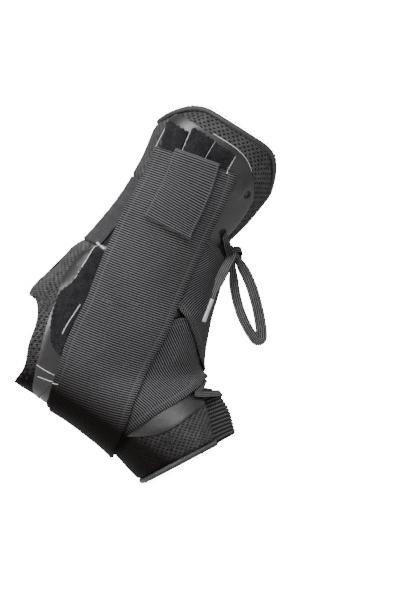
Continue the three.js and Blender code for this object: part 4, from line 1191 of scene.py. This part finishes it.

# Seams and pale edges: thin oval cords laid on the surface, sunk by a share of their wall. dash gives
# stitches of one length and pitch. The pale cords are raised edges with their highlight painted on.
def surfaceCord(name, route, width, wall, finish, slot, dash=None, sign=1, sink=0.3, level=None):
    line = evenly(route, 240)
    station, angle = line["station"], line["angle"] * sign
    total = line["length"][-1]
    starts = np.array([0.0]) if dash is None else np.arange(0, total - dash[0], dash[1])
    stitch = total if dash is None else dash[0]
    steps = 160 if dash is None else 6
    ease = np.sqrt(np.clip(1 - (2 * np.linspace(0, 1, steps + 1) - 1) ** (2 if dash else 60), 0.02, 1))
    goals = starts[:, None] + stitch * np.linspace(0, 1, steps + 1)[None, :]
    station = np.interp(goals, line["length"], station)
    angle = np.interp(goals, line["length"], angle)
    seat = np.full(station.shape, level) if level else np.maximum(heights(station, angle, under.tree()), 0.5)
    for _ in range(3):
        seat = np.maximum(seat, 0.5 * (seat + 0.5 * (np.roll(seat, 1, axis=1) + np.roll(seat, -1, axis=1))))
    points = raised(station, angle, seat + wall / 2 - sink * wall)
    normal = slopes(station, angle)[2]
    ahead = unit(np.gradient(points, axis=1))
    side = unit(np.cross(ahead, normal))
    around = np.linspace(0, 2 * np.pi, 8, endpoint=False)
    ring = points[:, :, None] + side[:, :, None] * (width / 2 * ease[:, None] * np.cos(around))[..., None]
    ring = ring + normal[:, :, None] * (wall / 2 * ease[:, None] * np.sin(around))[..., None]
    count, rows, columns = ring.shape[:3]
    each = np.arange(count)[:, None, None] * rows * columns
    faces = [(part[None] + each).reshape(-1, part.shape[1]) for part in tubeFaces(rows, columns)]
    return makeMesh(name, ring, faces, joined(goals[:, :, None], width * around), finish, slot=slot)


# Rows of station and share as rows of station and angle.
def spots(*rows):
    return [[station, float(angleOf(share))] for station, share in rows]


archShares = np.linspace(0.4, 0.78, 14)
archRoute = np.stack([facingTop(archShares) - 0.03, angleOf(archShares)], axis=1)
# pale cords along edges and folds, painted pale as the edges' highlights
paleEdges = [
    ("collarLine", spots((0.97, 0.088), (1.05, 0.083), (1.3, 0.079), (1.62, 0.07)), 0.7),
    ("frontLine", spots((0.88, 0.618), (1.05, 0.624), (1.33, 0.628)), 0.7),
    ("archLine", archRoute, 0.6),
    ("pileLineBack", spots((0.93, 0.2575), (1.5, 0.275), (2.1, 0.294)), 0.7),
    ("pileLineFront", spots((0.83, 0.444), (1.4, 0.444), (2.1, 0.444)), 0.6),
    ("patchLine", spots((4.22, 0.13), (4.78, 0.158), (5.32, 0.172)), 0.8),
    ("patchFold", spots((5.94, 0.299), (6.5, 0.3), (7.11, 0.299)), 0.7),
    ("heelLineHigh", spots((8.5, 0.189), (8.72, 0.218), (8.94, 0.25)), 0.6),
    ("heelLineLow", spots((9.02, 0.16), (9.2, 0.19), (9.4, 0.225)), 0.6),
    ("tapeEnd", spots((4.17, 0.12), (4.2, 0.15), (4.23, 0.19)), 1.6),
]
stitchRows = {
    "collarStitch": band(collarLine, 0, 4.9, 2),
    "toeStitch": band(toeLine, 0, 5.0, 2),
}
for name, sign in bothSides:
    for label, route, width in paleEdges:
        # painted edge highlights
        surfaceCord(f"{label}_{name}", route, width, 0.5, "paintedEdgeHighlight", "facing", sign=sign)
    slitStations = np.linspace(5.3, 9.2, 12)
    for row, share in enumerate((0.36, 0.72), 1):
        edge = heelEdge(slitStations)
        angles = edge + (angleOf(along(facingBack, slitStations)) - edge) * share
        route = np.stack([slitStations, angles], axis=1)
        label = f"heelSlits_{name}_{row}"
        surfaceCord(label, route, 1.1, 0.3, "slitsAndShade", "mesh", dash=(2.3, 4.0), sign=sign, sink=0.1)
    fold = spots((12.17, 0.473), (12.4, 0.446), (12.67, 0.412))
    surfaceCord(f"toeFold_{name}", fold, 1.7, 1.5, "mesh", "mesh", sign=sign)
    # a dark cord beside the fold: painted shade
    shade = [[station, angle + 0.045] for station, angle in fold]
    surfaceCord(f"toeFoldShade_{name}", shade, 0.9, 0.4, "slitsAndShade", "mesh", sign=sign)
    seam = spots((9.5, 0.16), (9.8, 0.07), (10.02, 0.004))
    surfaceCord(f"soleSeam_{name}", seam, 1.2, 0.7, "binding", "mesh", sign=sign)
backSeams = {"backSeam_high": (1.25, 2.38), "backSeam_low": (4.33, 5.98), "soleSeam_middle": (9.35, 12.85)}
for label, (first, last) in backSeams.items():
    route = [[station, 0] for station in np.linspace(first, last, 8)]
    surfaceCord(label, route, 3.2, 1.2, "mesh", "mesh", level=2.5)
for label, station in (("crossSeamHigh", 5.36), ("crossSeamLow", 5.52)):
    route = spots((station + 0.05, 0.39), (station, 0.5), (station - 0.07, 0.615))
    surfaceCord(label, route, 0.5, 0.4, "thread", "webbing", dash=(2.0, 2.7))
for label, grid in stitchRows.items():
    route = np.stack([grid["station"][:, -1], grid["angle"][:, -1]], axis=1)[::6]
    surfaceCord(label, route, 0.6, 0.5, "thread", "mesh", dash=(2.4, 3.6))
print("seams ready")

# Pull tabs: webbing folded double, thicker at the fold
tabs = {"width": 27, "length": 50, "wall": 2.3, "rise": 3, "shift": 2, "fold": 1.3}


# A tab follows the end of its strap's line and passes it by the rise, one step over the form.
def makeTab(name, line, sign, nodes):
    middleLine = np.stack([line["station"], line["angle"]], axis=1)
    last = middleLine[-1:]
    ahead = form(*last.T) - form(*middleLine[-2:-1].T)
    tip = stepOver(*last.T, ahead, tabs["rise"])
    tail = np.vstack([middleLine[-round(straps["rows"] / 3):], np.stack(tip[:2], axis=1)])
    measure = lengths(form(tail[:, 0], tail[:, 1]))
    goals = np.linspace(measure[-1] - tabs["length"], measure[-1], 91)
    station, angle = (np.interp(goals, measure, tail[:, column]) for column in (0, 1))
    run = {"station": station, "angle": angle, "length": goals - goals[0]}
    middle = sign * tabs["shift"]
    grid = band(run, middle - tabs["width"] / 2, middle + tabs["width"] / 2, 36)
    lift = settle(grid, under.tree(), boot["wall"], gap=0.2, rounds=60, spreadOver=2)
    border = fromBorder(form(grid["station"], grid["angle"]))
    # third cloth value: the tab's border, painted lighter in the webbing as an edge highlight
    cloth = joined(grid["offsets"] - middle, run["length"][:, None], 1 - smooth(border, 0.5, 1.3))
    swell = tabs["fold"] * bump(run["length"], 1.6, 1.6)[:, None] + 0.25 * bump(border, 0.9, 0.5)
    makeSheet(name, grid, lift, tabs["wall"], cloth, "webbing", nodes, 0.9, swell, thin=0.2)


makeTab("pullTab_medial", outerLine, 1, ["pull_tab_medial"])
makeTab("pullTab_lateral", innerLine, -1, ["pull_tab_lateral"])
print("pull tabs ready")

# Free lace of the bow, in millimetres of the leaning frame
nearLoop = [
    [72.6, -5, 50.2], [74.4, -7.5, 46.6], [77.6, -9, 41.0], [80.6, -10, 35.2], [83.4, -10.8, 28.4],
    [85.6, -11.4, 21.4], [87.5, -11.8, 14.0], [88.9, -12.2, 6.6], [89.9, -12.6, -0.6], [89.4, -13.2, -5.6],
    [86.6, -13.8, -6.4], [83.0, -14, -2.2], [79.6, -14.2, 3.6], [76.8, -14, 9.6], [74.6, -13.6, 16.0],
    [72.8, -12.8, 23.4], [71.6, -11.4, 31.0], [71.2, -9.2, 38.4], [71.2, -6.6, 44.6],
]
nearEnd = [
    [71.4, -6.6, 51.0], [70.6, -16.5, 48.0], [67.4, -26.5, 42.6], [63.6, -31.5, 35], [60.4, -34, 27.6],
    [57.8, -35.5, 20.8],
]
farLoop = [
    [72.4, 5, 50.2], [74.0, 8.2, 46.4], [77.0, 10.4, 41.0], [80.0, 12, 35.2], [82.8, 13.2, 28.4],
    [85.0, 14, 21.4], [86.9, 14.6, 14.0], [88.3, 15, 6.6], [89.2, 15.4, -0.2], [88.7, 15.8, -5.0],
    [86.2, 16, -5.8], [83.0, 16, -1.8], [79.8, 15.8, 3.8], [77.2, 15.4, 9.8], [75.0, 14.8, 16.2],
    [73.2, 13.8, 23.4], [72.0, 12.2, 31.0], [71.6, 10, 38.4], [71.4, 7.4, 44.6],
]
farEnd = [
    [72.6, 7.4, 51.2], [72.6, 17, 48.2], [68.6, 27, 42.6], [64.0, 32.5, 35.6], [60.6, 35.5, 28.6],
    [58, 37.5, 22],
]
tips = {"radius": 1.35, "length": 16, "gap": 0.3}


# Evenly spaced points of the smooth line through a route.
def evenPoints(route, count):
    fine = smoothLine(route, 1200)[0]
    measure = lengths(fine)
    goals = np.linspace(0, measure[-1], count)
    return np.stack([np.interp(goals, measure, fine[:, axis]) for axis in range(3)], axis=1)


# The lace is narrow where it leaves the knot, full along its run, and narrow again at its end.
def widthsAlong(count, both, tip):
    share = np.linspace(0, 1, count)
    ease = smooth(share, 0, 0.12)
    if both:
        ease = np.minimum(ease, smooth(1 - share, 0, 0.12))
    width = lace["drawn"] + (lace["width"] - lace["drawn"]) * ease
    return width if both else width + (tip - width) * smooth(share, 0.7, 1)


# A loop starts and ends at the knot. An end hangs from it and carries a clear tip, a tube of small radii.
def freeLace(name, route, facing, both, nodes, aglet=None):
    points = evenPoints(route, 120 if both else 70)
    facings = np.tile(unit(np.array(facing, float)), (len(points), 1))
    widths = widthsAlong(len(points), both, 2 * tips["radius"])
    ring, faces, cloth = flatCord(points, facings, widths, lace["wall"])
    piece = makeMesh(name, ring, faces, cloth, "lace", nodes, leaning=False)
    pieces = []
    if aglet:
        ahead = unit(points[-1] - points[-2])
        side = unit(np.cross(ahead, [0, 0, 1]))
        other = np.cross(ahead, side)
        end = tips["length"]
        run = np.array([0, 0.15, 0.6, end / 2, end - 0.8, end - 0.2, end])
        radius = tips["radius"] * np.array([0.5, 0.9, 1, 0.94, 1, 0.8, 0.45])
        around = np.linspace(0, 2 * np.pi, 20, endpoint=False)
        centre = points[-1] + ahead * (tips["gap"] + run[:, None])
        outward = side * np.cos(around)[:, None] + other * np.sin(around)[:, None]
        tube = centre[:, None] + radius[:, None, None] * outward
        tipCloth = joined(around, run[:, None])
        tipFaces = tubeFaces(*tube.shape[:2])
        # the tip's pale grey is a painted highlight on clear plastic
        pieces = [makeMesh(aglet[0], tube, tipFaces, tipCloth, "aglet", [aglet[1]], leaning=False)]


freeLace("laceLoop_near", nearLoop, (0, -1, 0.1), True, ["lace_loop_near"])
freeLace("laceLoop_far", farLoop, (0.25, 1, 0.3), True, ["lace_loop_far"])
freeLace("laceEnd_near", nearEnd, (-0.3, -1, 0), False, ["lace_end_near"], ("aglet_tipNear", "aglet_near"))
freeLace("laceEnd_far", farEnd, (0.5, 1, 0), False, ["lace_end_far"], ("aglet_tipFar", "aglet_far"))

# The knot: a core with two wraps of lace round it and a folded lobe that hangs towards the side
knot = {
    "stand": 9.5, "size": 8.0, "rows": 40, "columns": 64, "steps": 72,
    "wraps": {
        "laceWrap_high": {"radius": 4.6, "rise": 1.3, "tilt": 0.5, "width": 4.6},
        "laceWrap_low": {"radius": 4.4, "rise": -1.9, "tilt": -0.35, "width": 4.2},
    },
    "lobe": [
        [-2.6, -5.4, 6.4], [-5.0, -6.6, 2.4], [-6.2, -7.0, -2.6], [-6.4, -6.6, -7.4], [-5.8, -5.8, -10.0],
    ],
    "lobeFacing": [-0.3, -1.0, 0.0], "lobeWidth": 8.4, "lobeWall": 3.0, "lobeRows": 60,
}
knotPoint = raised(*(np.array([value]) for value in (lace["knotStation"], math.pi, knot["stand"])))[0]


# The core: a ball with creases cut into its radius.
def makeCore():
    polar = np.linspace(0, np.pi, knot["rows"])[:, None]
    around = np.linspace(0, 2 * np.pi, knot["columns"], endpoint=False)
    crease = 1 - 0.16 * np.abs(np.sin(around * 1.5 + polar)) ** 6 - 0.1 * bump(polar, 1.7, 0.16)
    radius = knot["size"] / 2 * crease
    ring = radius * np.sin(polar)
    points = joined(ring * np.cos(around), ring * np.sin(around), 0.9 * radius * np.cos(polar)) + knotPoint
    faces = quads(knot["rows"], knot["columns"], closed=True)
    makeMesh("laceKnot", points, faces, joined(polar * 4, around * 4), "lace", ["lace_knot"])


# A wrap: a tilted circle of lace, its height tilt * cos(turn + 1).
def makeWrap(name, wrap):
    turn = np.linspace(0, 2 * np.pi, knot["steps"], endpoint=False)
    outward = np.stack([np.cos(turn), np.sin(turn), wrap["tilt"] * np.cos(turn + 1.0)], axis=1)
    path = outward * wrap["radius"] + [0, 0, wrap["rise"]] + leaned(knotPoint)
    ring, _, cloth = flatCord(path, outward, np.full(knot["steps"], wrap["width"]), lace["wall"])
    rows, columns = ring.shape[:2]
    faces = quads(rows + 1, columns, closed=True) % (rows * columns)
    makeMesh(name, ring, faces, cloth, "lace", leaning=False)


# The lobe: a wide fold of lace whose ends are rounded by sqrt(1 - share^4).
def makeLobe():
    path = smoothLine(knot["lobe"], knot["lobeRows"])[0] + leaned(knotPoint)
    share = 2 * np.linspace(0.04, 0.96, knot["lobeRows"]) - 1
    facings = np.tile(knot["lobeFacing"], (knot["lobeRows"], 1))
    widths = knot["lobeWidth"] * (1 - share ** 4) ** 0.5
    ring, faces, cloth = flatCord(path, facings, widths, knot["lobeWall"])
    makeMesh("laceLobe", ring, faces, cloth, "lace", leaning=False)


makeCore()
for label, wrap in knot["wraps"].items():
    makeWrap(label, wrap)
makeLobe()
print("bow ready")

# Floor and light
studio = {"floor": -0.32, "size": 6.0, "wall": 4.0, "curve": 1.2, "glow": 16.0, "sky": 0.45}
lamps = {
    "key": {"place": (-0.35, -1.5, 1.8), "size": (0.8, 0.8), "power": 38.0},
    "side": {"place": (-1.5, -1.15, 0.95), "size": (0.5, 1.0), "power": 36.0},
    "fill": {"place": (1.1, -1.5, 1.35), "size": (0.8, 0.8), "power": 12.0},
    "rim": {"place": (1.0, 1.2, 1.2), "size": (0.8, 0.8), "power": 9.0},
    "back": {"place": (-0.5, 1.7, 1.6), "size": (0.8, 0.8), "power": 30.0},
}


# The pale floor glows for the camera alone, so that it reads as white paper and throws no light.
def floorMaterial():
    material, tree, shader = newTree("paleFloor", 0.9)
    path = tree.nodes.new("ShaderNodeLightPath")
    speckle = calc(tree, "MULTIPLY_ADD", noise(tree, objectPlace(tree), 3.0), 0.02, 0.98)
    shader.inputs["Base Color"].default_value = (0.5, 0.5, 0.5, 1)
    shader.inputs["Emission Strength"].default_value = studio["glow"]
    shown = calc(tree, "MULTIPLY", path.outputs["Is Camera Ray"], speckle)
    tree.links.new(shown, shader.inputs["Emission Color"])
    return material


# The floor turns up into a wall behind the brace along a quarter circle.
def makeBackdrop():
    turn = np.linspace(0, np.pi / 2, 24)
    wall, curve = studio["wall"], studio["curve"]
    back = np.concatenate([[-studio["size"]], wall + curve * np.sin(turn), [wall + curve]])
    height = np.concatenate([[0], curve * (1 - np.cos(turn)), [studio["size"]]]) + studio["floor"]
    points = joined(np.array([-studio["size"], studio["size"]]), back[:, None], height[:, None])
    mesh = bpy.data.meshes.new("floor")
    mesh.from_pydata(points.reshape(-1, 3).tolist(), [], quads(len(back), 2).tolist())
    mesh.shade_smooth()
    mesh.materials.append(floorMaterial())
    floor = bpy.data.objects.new("floor", mesh)
    bpy.context.scene.collection.objects.link(floor)
    floor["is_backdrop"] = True


# An area light aimed at the middle of the brace.
def addLight(name, place, size, power):
    light = bpy.data.lights.new(name, "AREA")
    light.shape = "RECTANGLE"
    light.size, light.size_y = size
    light.energy = power
    lamp = bpy.data.objects.new(name, light)
    lamp.location = place
    lamp.rotation_euler = (-Vector(place)).to_track_quat("-Z", "Y").to_euler()
    bpy.context.scene.collection.objects.link(lamp)


makeBackdrop()
world = bpy.data.worlds.new("studio")
world.use_nodes = True
lightPath = world.node_tree.nodes.new("ShaderNodeLightPath")
cameraOnly = lightPath.outputs["Is Camera Ray"]
glow = calc(world.node_tree, "MULTIPLY_ADD", cameraOnly, studio["glow"] - studio["sky"], studio["sky"])
background = world.node_tree.nodes["Background"]
world.node_tree.links.new(glow, background.inputs["Strength"])
background.inputs["Color"].default_value = (1, 1, 1, 1)
bpy.context.scene.world = world
for name, lamp in lamps.items():
    addLight(name, **lamp)
print("studio ready")

low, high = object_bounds()
